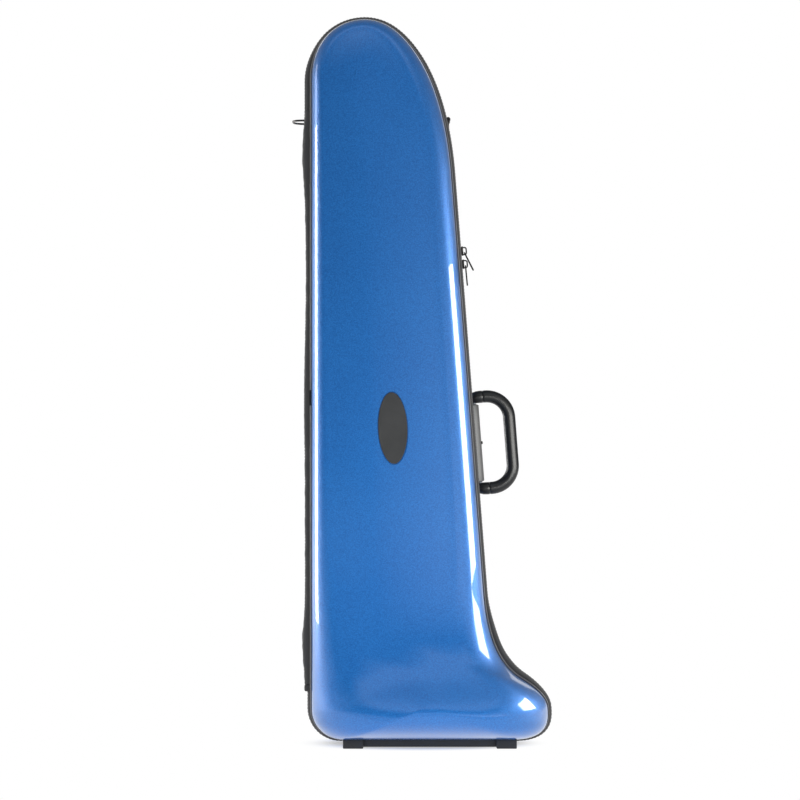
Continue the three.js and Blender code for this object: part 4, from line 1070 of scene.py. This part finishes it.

# %% [markdown]
# The hinge is one padded strip of textile over both halves. It swells where it is stuffed
# and pulls in between, and its face is never quite even, so two low noises stretched across
# the strip add shallow folds. Inside, a gutter runs along the middle. The strip is one fixed
# piece and does not bend when the lid opens.

# %% Spine
SPINE_LOW, SPINE_HIGH, SPINE_STEPS = 74.3, 786.7, 260
SPINE_OUTER = [(3.2, 11.7), (5.0, 11.4), (6.9, 10.6), (8.1, 9.0),
               (8.5, 6.8), (8.6, 4.6), (8.6, 2.6), (8.6, 1.3)]
SPINE_INNER = [(-4.6, 11.7), (-4.6, 7.5), (-4.6, 3.8), (0.5, 2.6), (2.4, 1.3)]
OUTER_MIDDLE, INNER_MIDDLE = (8.6, 0), (2.8, 0)
SWELLS = ((0.07, 0.05, 3.7), (0.49, 0.09, 1.5), (0.92, 0.06, 3.7), (0.72, 0.10, -1.6))
LID_SWELL_SHARE, SWELL_REACH, SWELL_RISE = 0.75, 2.4, 5
FOLDS = ((1, 0.085, 0.05, 2.0), (0.5, 0.23, 0.09, 7.0))
FOLD_DEPTH, FOLD_FADE = 0.8, 6
HINGE_SEAM_REACH, HINGE_SEAM_DEPTH = 8.35, 8.6


def mirrored(half_section, middle):
    return [*half_section, middle, *[(reach, -depth) for reach, depth in reversed(half_section)]]


def spine_swell(z, depth):
    """How far the stuffing lifts the strip, which is less on the lid's half."""
    share = (z - SPINE_LOW) / (SPINE_HIGH - SPINE_LOW)
    swell = sum(height * math.exp(-((share - place) / width) ** 2) for place, width, height in SWELLS)
    return swell * (1 if depth > 0 else LID_SWELL_SHARE)


def on_spine(station, outward, depth):
    fold = sum(share * noise.noise(Vector((station.z * along, depth * across, layer)))
               for share, along, across, layer in FOLDS)
    ends = min(1, (station.z - SPINE_LOW) / FOLD_FADE, (SPINE_HIGH - station.z) / FOLD_FADE)
    lift = spine_swell(station.z, depth) + FOLD_DEPTH * fold * ends
    return station.at(outward + smooth((outward - SWELL_REACH) / SWELL_RISE) * lift, depth)


spine_path = stations_along([(straight((0, SPINE_LOW), (0, SPINE_HIGH)), SPINE_STEPS)], with_end=True)
outer, inner = mirrored(SPINE_OUTER, OUTER_MIDDLE), mirrored(SPINE_INNER, INNER_MIDDLE)
spine_form = grow(spine_path, [*outer, *reversed(inner)], False, reach=on_spine)
spine = add_piece("spine_strip", spine_form, "textile", "back_half",
                  ["spine_leaf_back", "spine_leaf_front"], SPINE_SHARP)
spine.parent = None
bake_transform(spine)

for side, half, body in HALVES:
    add_seam(f"spine_stitches_{half}", spine_path,
             lambda station: HINGE_SEAM_REACH + spine_swell(station.z, side),
             HINGE_SEAM_DEPTH, side, body)

# %% [markdown]
# Flat pieces of webbing have no path to unroll, so their UV map is the view along whichever
# axis a face looks at, in metres. The hems that end the spine at the foot are such pieces:
# the strip is turned over and sewn down, which leaves a small firm knob on each half.

# %% Hems
HEM_BEVEL = 2.4


def map_flat(form):
    turn_outward(form)
    form.normal_update()
    flat = form.loops.layers.uv.get("unrolled") or form.loops.layers.uv.new("unrolled")
    for face in form.faces:
        axis = max(range(3), key=lambda k: abs(face.normal[k]))
        across, along = [k for k in range(3) if k != axis]
        for loop in face.loops:
            loop[flat].uv = (loop.vert.co[along], loop.vert.co[across])


def soft_block(form, low, high, bevel):
    """A box between two corners in metres, with rounded edges."""
    low, high = Vector(low), Vector(high)
    place = Matrix.Translation((low + high) / 2) @ Matrix.Diagonal(high - low).to_4x4()
    block = bmesh.ops.create_cube(form, size=1, matrix=place)["verts"]
    bevel_edges(form, edges_at(block), bevel, 4, clamp_overlap=True)


for side, half, body in HALVES:
    hem = bmesh.new()
    soft_block(hem, *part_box(f"spine_hem_{half}"), HEM_BEVEL)
    map_flat(hem)
    knob = add_piece(f"hem_{half}", hem, "textile", body, [f"spine_hem_{half}"], HEM_SHARP)

# %% [markdown]
# Rings, bridges and the grip are bent rods. `bend` rounds the corners of a path with true
# arcs, and `add_rod` sweeps a circle along it with Blender's own curve bevel. The radius may
# change along the rod, which gives it rounded ends.

# %% Bent rods
def bend(points, radius, steps, closed=False):
    """The path with each corner turned into an arc; the radius is one number or a list."""
    points = [Vector(point) for point in points]
    path = []
    for i, here in enumerate(points):
        if not closed and i in (0, len(points) - 1):
            path.append(here)
            continue
        back = (points[i - 1] - here).normalized()
        ahead = (points[(i + 1) % len(points)] - here).normalized()
        half = back.angle(ahead) / 2
        reach = radius[i] if isinstance(radius, tuple) else radius
        middle = here + (back + ahead).normalized() * reach / math.sin(half)
        start, end = (here + way * reach / math.tan(half) - middle for way in (back, ahead))
        path += [middle + start.slerp(end, k / steps).normalized() * reach for k in range(steps + 1)]
    return path


def add_rod(form, path, radius, soft, closed=False, taper=()):
    """A round rod along a path in millimetres.

    The taper gives factors for the radius, at every point or from each end inwards.
    """
    data = bpy.data.curves.new("rod", "CURVE")
    data.dimensions = "3D"
    data.bevel_depth = radius * MM
    data.bevel_resolution = soft
    data.use_fill_caps = not closed
    spline = data.splines.new("POLY")
    spline.points.add(len(path) - 1)
    for i, (knot, point) in enumerate(zip(spline.points, path)):
        knot.co = (*(point * MM), 1)
        from_end = i if len(taper) == len(path) else min(i, len(path) - 1 - i)
        knot.radius = taper[from_end] if from_end < len(taper) else 1
    spline.use_cyclic_u = closed
    rod = placed("rod", data)
    seen = rod.evaluated_get(bpy.context.evaluated_depsgraph_get())
    mesh = bpy.data.meshes.new_from_object(seen)
    form.from_mesh(mesh)
    bpy.data.batch_remove([rod, data, mesh])
    bmesh.ops.remove_doubles(form, verts=form.verts, dist=WELD)
    turn_outward(form)


print("rods ready")

# %% [markdown]
# The carrying handle is a rubber grip bent round two corners, with a separate end piece on
# each leg that turns on a pin. Its own frame lies on the flank: X away from the wall, Z
# along it. Each place on an end piece has its reach from the wall, its radius and the
# distance of its middle from the inner edge of the leg.

# %% Handle
HANDLE_Z, HANDLE_DEPTH = 372, 32
LEG_SPAN, GRIP_START, GRIP_REACH, GRIP_BEND, GRIP_RADIUS = 57.7, 19.5, 50.7, 28, 7.8
EDGE_STEPS, EDGE_TAPER = (0.25, 0.8), (0.95, 0.98, 0.995)
END_SHAPE = [(1.2, 4.0, 4.6), (1.7, 4.6, 4.8), (3.4, 5.2, 5.2), (5.6, 6.2, 6.2), (8.6, 7.1, 7.1),
             (12, 7.65, 7.65), (16, 7.8, 7.8), (18.7, 7.8, 7.8), (19.1, 7.6, 7.8), (19.2, 7.3, 7.8)]
GRIP_SOFT = 9
flank_out = Vector((math.cos(FLANK_LEAN), 0, math.sin(FLANK_LEAN)))
flank_up = Vector((-math.sin(FLANK_LEAN), 0, math.cos(FLANK_LEAN)))


def on_flank(outward, depth, up, z):
    """A point by the flank in millimetres, from the foot of the frame at height z."""
    foot = Vector((rim_x / MM + flank_x(z), 0, z))
    return foot + flank_out * outward + flank_up * up + Vector((0, depth, 0))


def by_handle(outward, up):
    return on_flank(outward, HANDLE_DEPTH, up, HANDLE_Z)


def add_handle_piece(name, form, slot, body, node):
    piece = add_piece(name, form, slot, body, [node])
    light_by("grip_box", piece)
    light_by("right_box", piece, "EXCLUDE")


grip = bmesh.new()
arc = bend([by_handle(GRIP_START, -LEG_SPAN), by_handle(GRIP_REACH, -LEG_SPAN),
            by_handle(GRIP_REACH, LEG_SPAN), by_handle(GRIP_START, LEG_SPAN)], GRIP_BEND, 18)
first, last = (arc[1] - arc[0]).normalized(), (arc[-2] - arc[-1]).normalized()
path = [arc[0], *[arc[0] + first * step for step in EDGE_STEPS], *arc[1:-1],
        *[arc[-1] + last * step for step in reversed(EDGE_STEPS)], arc[-1]]
add_rod(grip, path, GRIP_RADIUS, GRIP_SOFT, taper=EDGE_TAPER)
add_handle_piece("grip_sleeve", grip, "grip_rubber", "handle", "handle_grip")

for name, way in (("lower", -1), ("upper", 1)):
    end = bmesh.new()
    path = [by_handle(reach, way * (LEG_SPAN - GRIP_RADIUS + middle))
            for reach, _, middle in END_SHAPE]
    add_rod(end, path, 1, GRIP_SOFT, taper=[radius for _, radius, _ in END_SHAPE])
    add_handle_piece(f"end_cap_{name}", end, "grip_rubber", "handle", f"handle_end_{name}")

# %% [markdown]
# Between the legs stands a half-round grey bar. Its section is an arch on two short walls,
# and near each end the arch gets lower and narrower over a quarter circle.

# %% Grey bar
BAR_REACH, BAR_HALF_WIDTH, BAR_HALF_LENGTH, BAR_END = 13.5, 7, 49.6, 2.5
BAR_LOW, BAR_WALL, BAR_FULLNESS = 0.3, 2.5, 0.8
BAR_LOWEST, BAR_NARROWEST = 0.25, 0.4
ARCH_STEPS, END_STEPS = 16, 8


def bar_station(up):
    foot = on_flank(0, 0, up, HANDLE_Z)
    station = Station(foot.x - rim_x / MM, foot.z, flank_out.x, flank_out.z, BAR_HALF_LENGTH - up)
    near_end = max(0, (abs(up) - (BAR_HALF_LENGTH - BAR_END)) / BAR_END)
    station.full = max(BAR_LOWEST, math.sqrt(1 - near_end ** 2))
    return station


def on_bar(station, outward, depth):
    return station.at(blend(BAR_LOW, outward, station.full),
                      blend(HANDLE_DEPTH, depth, blend(BAR_NARROWEST, 1, station.full)))


turns = [math.pi * k / ARCH_STEPS for k in range(1, ARCH_STEPS)]
arch = [(blend(BAR_WALL, BAR_REACH, math.sin(turn) ** BAR_FULLNESS),
         HANDLE_DEPTH + BAR_HALF_WIDTH * math.cos(turn)) for turn in turns]
bar_section = [(BAR_LOW, HANDLE_DEPTH + BAR_HALF_WIDTH), *arch,
               (BAR_LOW, HANDLE_DEPTH - BAR_HALF_WIDTH)]
near_end = [BAR_HALF_LENGTH - BAR_END * (1 - math.sin(math.pi / 2 * k / END_STEPS))
            for k in range(END_STEPS, -1, -1)]
ups = [*near_end, *range(30, -31, -15), *[-up for up in reversed(near_end)]]
bar = grow([bar_station(up) for up in ups], bar_section, False, reach=on_bar)
add_handle_piece("base_bar", bar, "grey_bar", "back_half", "handle_base_bar")

# %% [markdown]
# The stud in the middle of the bar and the heads of the rivets are low domes on a small
# upright rim, made by spinning half a profile.

# %% Domed heads
DOME_FOOT, DOME_STEPS, DOME_TURNS = -0.6, 7, 28
STUD_REACH, STUD_RADIUS, STUD_HEIGHT, STUD_RIM = 13.7, 2.0, 1.5, 0.4


def add_dome(form, middle, out, radius, height, rim):
    turned = Vector((0, 0, 1)).rotation_difference(out).to_matrix().to_4x4()
    turned.translation = middle * MM
    profile = [(radius, DOME_FOOT), (radius, rim * height)]
    for k in range(1, DOME_STEPS + 1):
        turn = math.pi / 2 * k / DOME_STEPS
        profile.append((radius * math.cos(turn), height * blend(rim, 1, math.sin(turn))))
    verts = [form.verts.new(turned @ Vector((r * MM, 0, h * MM))) for r, h in profile]
    edges = [form.edges.new(pair) for pair in zip(verts, verts[1:])]
    bmesh.ops.spin(form, geom=[*verts, *edges], cent=turned.translation, axis=out,
                   angle=2 * math.pi, steps=DOME_TURNS)
    bmesh.ops.remove_doubles(form, verts=form.verts, dist=MM / 200)
    turn_outward(form)


stud = bmesh.new()
add_dome(stud, by_handle(STUD_REACH, 0), flank_out, STUD_RADIUS, STUD_HEIGHT, STUD_RIM)
add_piece("bar_stud", stud, "dark_metal", "back_half", ["handle_stud"])

# %% [markdown]
# The sliders and their tabs are made of flat plates. A plate is its outline at a low level
# and at a high one, and its upright edges stay sharp while the others are bevelled. On both
# sides its face may be sunk inside a border.

# %% Flat plates
PLATE_BEVEL_STEPS, SUNK_STEP = 3, 0.25


def plate_between(form, outline, place, low, high, bevel, sunk=None):
    """The place is a function of the two numbers of the outline and of the level."""
    verts = [form.verts.new(place(u, v, low)) for u, v in outline]
    raised = bmesh.ops.extrude_face_region(form, geom=[form.faces.new(verts)])["geom"]
    tops = parts_of(raised, bmesh.types.BMVert)
    shift = place(*outline[0], high) - place(*outline[0], low)
    way = shift.normalized()
    bmesh.ops.translate(form, vec=shift, verts=tops)
    flat = [edge for edge in edges_at([*verts, *tops])
            if abs((edge.verts[0].co - edge.verts[1].co).normalized().dot(way)) < 0.5]
    bevel_edges(form, flat, bevel, PLATE_BEVEL_STEPS)
    turn_outward(form)
    if sunk:
        border, depth = sunk
        form.normal_update()
        wide = [face for face in form.faces
                if len(face.verts) >= len(outline) and abs(face.normal.dot(way)) > 0.99]
        for face in wide:
            for thick, deep in ((border, 0), (SUNK_STEP, -depth)):
                bmesh.ops.inset_individual(form, faces=[face], thickness=thick * MM, depth=deep * MM)


print("plates ready")

# %% [markdown]
# Two sliders ride on the coils. Each is a waisted plate with a flange on either side under
# it and a bridge over it.

# %% Sliders
WAISTED = [(-5.75, -3.9), (-1.8, -3.45), (1.2, -3.45), (4.2, -4.75), (5.75, -4.2),
           (5.75, 4.2), (4.2, 4.75), (1.2, 3.45), (-1.8, 3.45), (-5.75, 3.9)]
FLANGE = [(-5.2, 2.1), (-5.2, 3.6), (4.8, 4.3), (4.8, 2.1)]
FLANGE_LOW, FLANGE_HIGH, PLATE_LOW, PLATE_HIGH = 5.25, 6.3, 6.0, 8.0
BRIDGE_ROOT, BRIDGE_TOP, BRIDGE_HALF, BRIDGE_BEND = 6.8, 11.8, 4.4, 2.2
BRIDGE_WIRE, BRIDGE_WIDEN = 0.9, 1.65
PLATE_ROUND, PLATE_BEVEL, FLANGE_BEVEL = (1.0, 3), 0.45, 0.25


def slider_form(z):
    def place(up, depth, out):
        return on_flank(out, depth, up, z) * MM

    slider = bmesh.new()
    plate_between(slider, rounded(WAISTED, *PLATE_ROUND), place, PLATE_LOW, PLATE_HIGH, PLATE_BEVEL)
    for edge in (-1, 1):
        flange = [(up, edge * depth) for up, depth in FLANGE]
        plate_between(slider, flange, place, FLANGE_LOW, FLANGE_HIGH, FLANGE_BEVEL)
    bridge = bmesh.new()
    legs = [on_flank(out, 0, up, z) for out, up in (
        (BRIDGE_ROOT, -BRIDGE_HALF), (BRIDGE_TOP, -BRIDGE_HALF),
        (BRIDGE_TOP, BRIDGE_HALF), (BRIDGE_ROOT, BRIDGE_HALF))]
    add_rod(bridge, bend(legs, BRIDGE_BEND, 6), BRIDGE_WIRE, 3)
    bmesh.ops.scale(bridge, vec=(1, BRIDGE_WIDEN, 1), verts=bridge.verts)
    mesh = bpy.data.meshes.new("bridge")
    bridge.to_mesh(mesh)
    bridge.free()
    slider.from_mesh(mesh)
    bpy.data.meshes.remove(mesh)
    return slider


print("flange from", FLANGE_LOW, "to", FLANGE_HIGH, "mm off the flank")

# %% [markdown]
# A pull tab hangs in the bridge by an eye: an axle between two arms. The upper tab leans out
# over the lower slider, as it does in the photo, and the lower one hangs nearly straight
# down.

# %% Pull tabs
PIVOT_OUT, PIVOT_UP = 9.5, -2.4
TAB_HALF, TAB_START, TAB_END, TAB_BEVEL = 0.8, 4.4, 24.6, 0.3
AXLE_HALF, ARM_MIDDLE, ARM_HALF, ARM_LAP = 3.1, 2.8, 0.9, 0.8
TAB_LAP, NEAR_HALF, FAR_HALF, TAB_ROUND, TAB_SUNK = 0.6, 3.7, 4.3, (1.6, 5), (0.9, 0.35)
SLIDERS = (("upper", 611.5, 22.5), ("lower", 595.2, 1.0))


def tab_form(z, lean):
    turn = FLANK_LEAN + math.radians(lean)
    down = Vector((math.sin(turn), 0, -math.cos(turn)))
    face_out = Vector((math.cos(turn), 0, math.sin(turn)))
    pivot = on_flank(PIVOT_OUT, 0, PIVOT_UP, z)

    def place(along, across, level):
        return (pivot + down * along + Vector((0, across, 0)) + face_out * level) * MM

    tab = bmesh.new()
    add_rod(tab, [place(0, across, 0) / MM for across in (-AXLE_HALF, AXLE_HALF)], TAB_HALF, 4)
    for middle in (-ARM_MIDDLE, ARM_MIDDLE):
        low, high, end = middle - ARM_HALF, middle + ARM_HALF, TAB_START + ARM_LAP
        arm = [(-TAB_HALF, low), (-TAB_HALF, high), (end, high), (end, low)]
        plate_between(tab, arm, place, -TAB_HALF, TAB_HALF, TAB_BEVEL)
    start = TAB_START - TAB_LAP
    flat = [(start, -NEAR_HALF), (TAB_END, -FAR_HALF), (TAB_END, FAR_HALF), (start, NEAR_HALF)]
    plate_between(tab, rounded(flat, *TAB_ROUND), place, -TAB_HALF, TAB_HALF, TAB_BEVEL, TAB_SUNK)
    return tab


for name, z, lean in SLIDERS:
    slider, tab = f"slider_{name}", f"tab_{name}"
    add_piece(slider + "_body", slider_form(z), "dark_metal", slider, [f"zip_slider_{name}"])
    add_piece(tab + "_plate", tab_form(z, lean), "dark_metal", tab, [f"pull_tab_{name}"])

# %% [markdown]
# Two D-rings hang in webbing tabs on the back half, near the top. The left one stands out
# level and the right one hangs down the flank. Both are one closed loop of wire.

# %% D-rings
RING_DEPTH, RING_HALF, RING_LENGTH, RING_WIRE = 36.5, 18, 17, 1.25
RING_BENDS = (2.2, 13, 13, 2.2)
RIGHT_HANG = math.radians(-89.4)
RINGS = (("left", (rim_x / MM - 8, RING_DEPTH, 777), (-1, 0, 0)),
         ("right", (33.863, RING_DEPTH, 778.882), (math.cos(RIGHT_HANG), 0, math.sin(RIGHT_HANG))))

for name, axis, hang in RINGS:
    axis, down, across = Vector(axis), Vector(hang) * RING_LENGTH, Vector((0, RING_HALF, 0))
    corners = [axis - across, axis - across + down, axis + across + down, axis + across]
    ring = bmesh.new()
    add_rod(ring, bend(corners, RING_BENDS, 10, closed=True), RING_WIRE, 4, closed=True)
    add_piece(f"ring_{name}_loop", ring, "dark_metal", f"ring_{name}", [f"d_ring_{name}"])

# %% [markdown]
# Soft pieces whose solid is already the right shape start as a copy of it. A voxel remesh
# gives the copy even faces, and smoothing rounds every edge the way cut foam and folded
# webbing round.

# %% Soft copies
TAB_VOXEL, TAB_ROUNDS = 0.7, 4
LINING_VOXEL, LINING_ROUNDS, LINING_SQUEEZE = 3.2, 5, 0.92


def soft_copy(name, node, voxel, rounds, slot, body):
    piece = object_from(form_of(frame["nodes"][node].data), name)
    modify(piece, "REMESH", mode="VOXEL", voxel_size=voxel * MM)
    modify(piece, "SMOOTH", factor=0.5, iterations=rounds)
    form = form_of(bake_modifiers(piece).data)
    bpy.data.objects.remove(piece)
    map_flat(form)
    return add_piece(name, form, slot, body, [node], COPY_SHARP)


ring_tabs = {}
for name in ("left", "right"):
    ring_tabs[name] = soft_copy(f"webbing_{name}", f"ring_tab_{name}", TAB_VOXEL, TAB_ROUNDS,
                                "textile", "back_half")
for name, node, body in (("lid_lining", "lid_foam", "lid"),
                         ("bed_lining", "back_foam_bed", "back_half")):
    lining = soft_copy(name, node, LINING_VOXEL, LINING_ROUNDS, "foam_plush", body)
    lining.data.transform(Matrix.Diagonal((1, LINING_SQUEEZE, 1, 1)))

# %% [markdown]
# The webbing tabs are sewn down in a box above the ring and one below it, and two rivets
# hold each. A ray cast on the tab finds where each stitch lies, since the webbing follows
# the rounded wall.

# %% Tab stitches and rivets
SMALL_STITCH, SMALL_BEVEL, SMALL_PITCH, STITCH_LIFT = (2.2, 0.45, 0.5), 0.14, 3.2, 0.00012
CAST_FROM = 0.1
BOX_HALF_DEPTH, BOX_EDGE, BOX_LOWER_TOP, BOX_UPPER_LOW = 12.5, 2.6, 768.5, 786.5
RIVET_RADIUS, RIVET_HEIGHT, RIVET_RIM = 4.0, 1.7, 0.12
TABS = (("left", (1, 0, 0), (-1, 0, 0)), ("right", (-1, 0, 0), (0.97194, 0, 0.23522)))


def stitch_line(form, target, start, end, way):
    count = max(1, round((end - start).length / SMALL_PITCH))
    along = (end - start).normalized()
    places = []
    for i in range(count):
        spot = start.lerp(end, (i + 0.5) / count) * MM
        hit, point, normal, _ = target.ray_cast(spot - way * CAST_FROM, way)
        if hit:
            run = (along - normal * along.dot(normal)).normalized()
            places.append((point + normal * STITCH_LIFT, run, normal))
    lay_blocks(form, places, SMALL_STITCH, SMALL_BEVEL)


def stitch_box(form, target, spots, way):
    for start, end in zip(spots, [*spots[1:], spots[0]]):
        stitch_line(form, target, start, end, way)


for name, way, out in TABS:
    tab, way, out = ring_tabs[name], Vector(way), Vector(out)
    low, high = (corner_point / MM for corner_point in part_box(f"ring_tab_{name}"))
    seams = bmesh.new()
    x = (low.x + high.x) / 2
    y0, y1 = RING_DEPTH - BOX_HALF_DEPTH, RING_DEPTH + BOX_HALF_DEPTH
    for z0, z1 in ((low.z + BOX_EDGE, BOX_LOWER_TOP), (BOX_UPPER_LOW, high.z - BOX_EDGE)):
        spots = [Vector((x, y, z)) for y, z in ((y0, z0), (y1, z0), (y1, z1), (y0, z1))]
        stitch_box(seams, tab, spots, way)
    add_piece(f"webbing_stitches_{name}", seams, "thread", "back_half")
    for level in ("upper", "lower"):
        node = f"ring_rivet_{name}_{level}"
        low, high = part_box(node)
        middle = (low + high) / 2 / MM
        hit, point, _, _ = tab.ray_cast(middle * MM + out * CAST_FROM, -out)
        head = bmesh.new()
        add_dome(head, point / MM if hit else middle, out, RIVET_RADIUS, RIVET_HEIGHT, RIVET_RIM)
        add_piece(f"rivet_{name}_{level}_head", head, "dark_metal", "back_half", [node])

# %% [markdown]
# Two webbing straps hold the slide and the bell down in the bed. Each sags a little between
# its sewn ends, where it is stitched in a box with a cross. Near one end it is lifted by the
# second layer of the doubled piece, where the hook and loop meet.

# %% Straps
STRAP_THICK, STRAP_SAG, STRAP_HOLLOW, STRAP_GAP = 1.1, 1.6, 0.25, 0.3
DOUBLED_LIFT, DOUBLED_SHARE, DOUBLED_STEP = 1.1, 0.30, 0.02
STRAP_EDGE, STRAP_SEWN, STRAP_CELLS = 2.2, 12, (44, 10)

for name in ("slide_strap", "bell_strap"):
    low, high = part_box(name)
    size = high - low
    strap = bmesh.new()
    bmesh.ops.create_grid(strap, x_segments=STRAP_CELLS[0], y_segments=STRAP_CELLS[1], size=0.5)
    for vert in strap.verts:
        along, across = vert.co.x + 0.5, vert.co.y + 0.5
        sag = STRAP_SAG * math.sin(math.pi * along) ** 2 + STRAP_HOLLOW * math.sin(math.pi * across)
        lift = DOUBLED_LIFT * smooth((DOUBLED_SHARE - along) / DOUBLED_STEP)
        vert.co = (low.x + size.x * along, low.y + (STRAP_GAP + sag - lift) * MM,
                   low.z + size.z * across)
    turn_outward(strap)
    bmesh.ops.solidify(strap, geom=strap.faces, thickness=STRAP_THICK * MM)
    map_flat(strap)
    webbing = add_piece(name + "_webbing", strap, "textile", "back_half", [name])
    seams = bmesh.new()
    low, high, way = low / MM, high / MM, Vector((0, 1, 0))
    z0, z1 = low.z + STRAP_EDGE, high.z - STRAP_EDGE
    for x0, x1 in ((low.x + STRAP_EDGE, low.x + STRAP_SEWN),
                   (high.x - STRAP_SEWN, high.x - STRAP_EDGE)):
        spots = [Vector((x, low.y, z)) for x, z in ((x0, z0), (x1, z0), (x1, z1), (x0, z1))]
        stitch_box(seams, webbing, spots, way)
        for start, end in (spots[::2], spots[1::2]):
            stitch_line(seams, webbing, start, end, way)
    add_piece(name + "_stitches", seams, "thread", "back_half")

# %% [markdown]
# The case stands on two dark rails, each with a block at either end and a thinner web
# between. The blocks run up into the rounded shell. The last solids keep their own shape
# and only take a better finish: screws, bolts, pins, the clip and what the handle hides.

# %% Feet and plain fittings
BLOCK_MIDDLES, BLOCK_HALF, BLOCK_BEVEL = (52, 240), 12.5, 1.4
RAIL_NEAR, RAIL_FAR, RAIL_TOP = 21, 49, 11.6
WEB_LOW, WEB_TOP, WEB_HALF, WEB_BEVEL = 1.2, 10.6, 6, 1.0

for side, half, body in HALVES:
    rail = bmesh.new()
    x0, x1 = (rim_x / MM + middle for middle in BLOCK_MIDDLES)
    y0, y1 = sorted((side * RAIL_NEAR, side * RAIL_FAR))
    y = (y0 + y1) / 2
    blocks = [((x - BLOCK_HALF, y0, 0), (x + BLOCK_HALF, y1, RAIL_TOP), BLOCK_BEVEL)
              for x in (x0, x1)]
    blocks.append(((x0, y - WEB_HALF, WEB_LOW), (x1, y + WEB_HALF, WEB_TOP), WEB_BEVEL))
    for low, high, bevel in blocks:
        soft_block(rail, Vector(low) * MM, Vector(high) * MM, bevel)
    turn_outward(rail)
    add_piece(f"rail_{half}", rail, "foot_plastic", body, [f"foot_rail_{half}"])

plain = {"piping_clip": "rubber", "handle_backing_plate": "steel", "handle_core": "steel"}
for half in ("back", "front"):
    for number in (1, 2):
        plain[f"foot_screw_{half}_{number}"] = "dark_metal"
for level in ("lower", "upper"):
    plain[f"handle_bolt_{level}"] = plain[f"handle_pin_{level}"] = "steel"
for node, slot in plain.items():
    materials = frame["nodes"][node].data.materials
    materials.clear()
    materials.append(finishes[slot])
print("kept solids", ", ".join(plain))

# %% Sizes and end
low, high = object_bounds()
{"solids": [list(c) for c in solid_box], "dressed": [list(low), list(high)]}
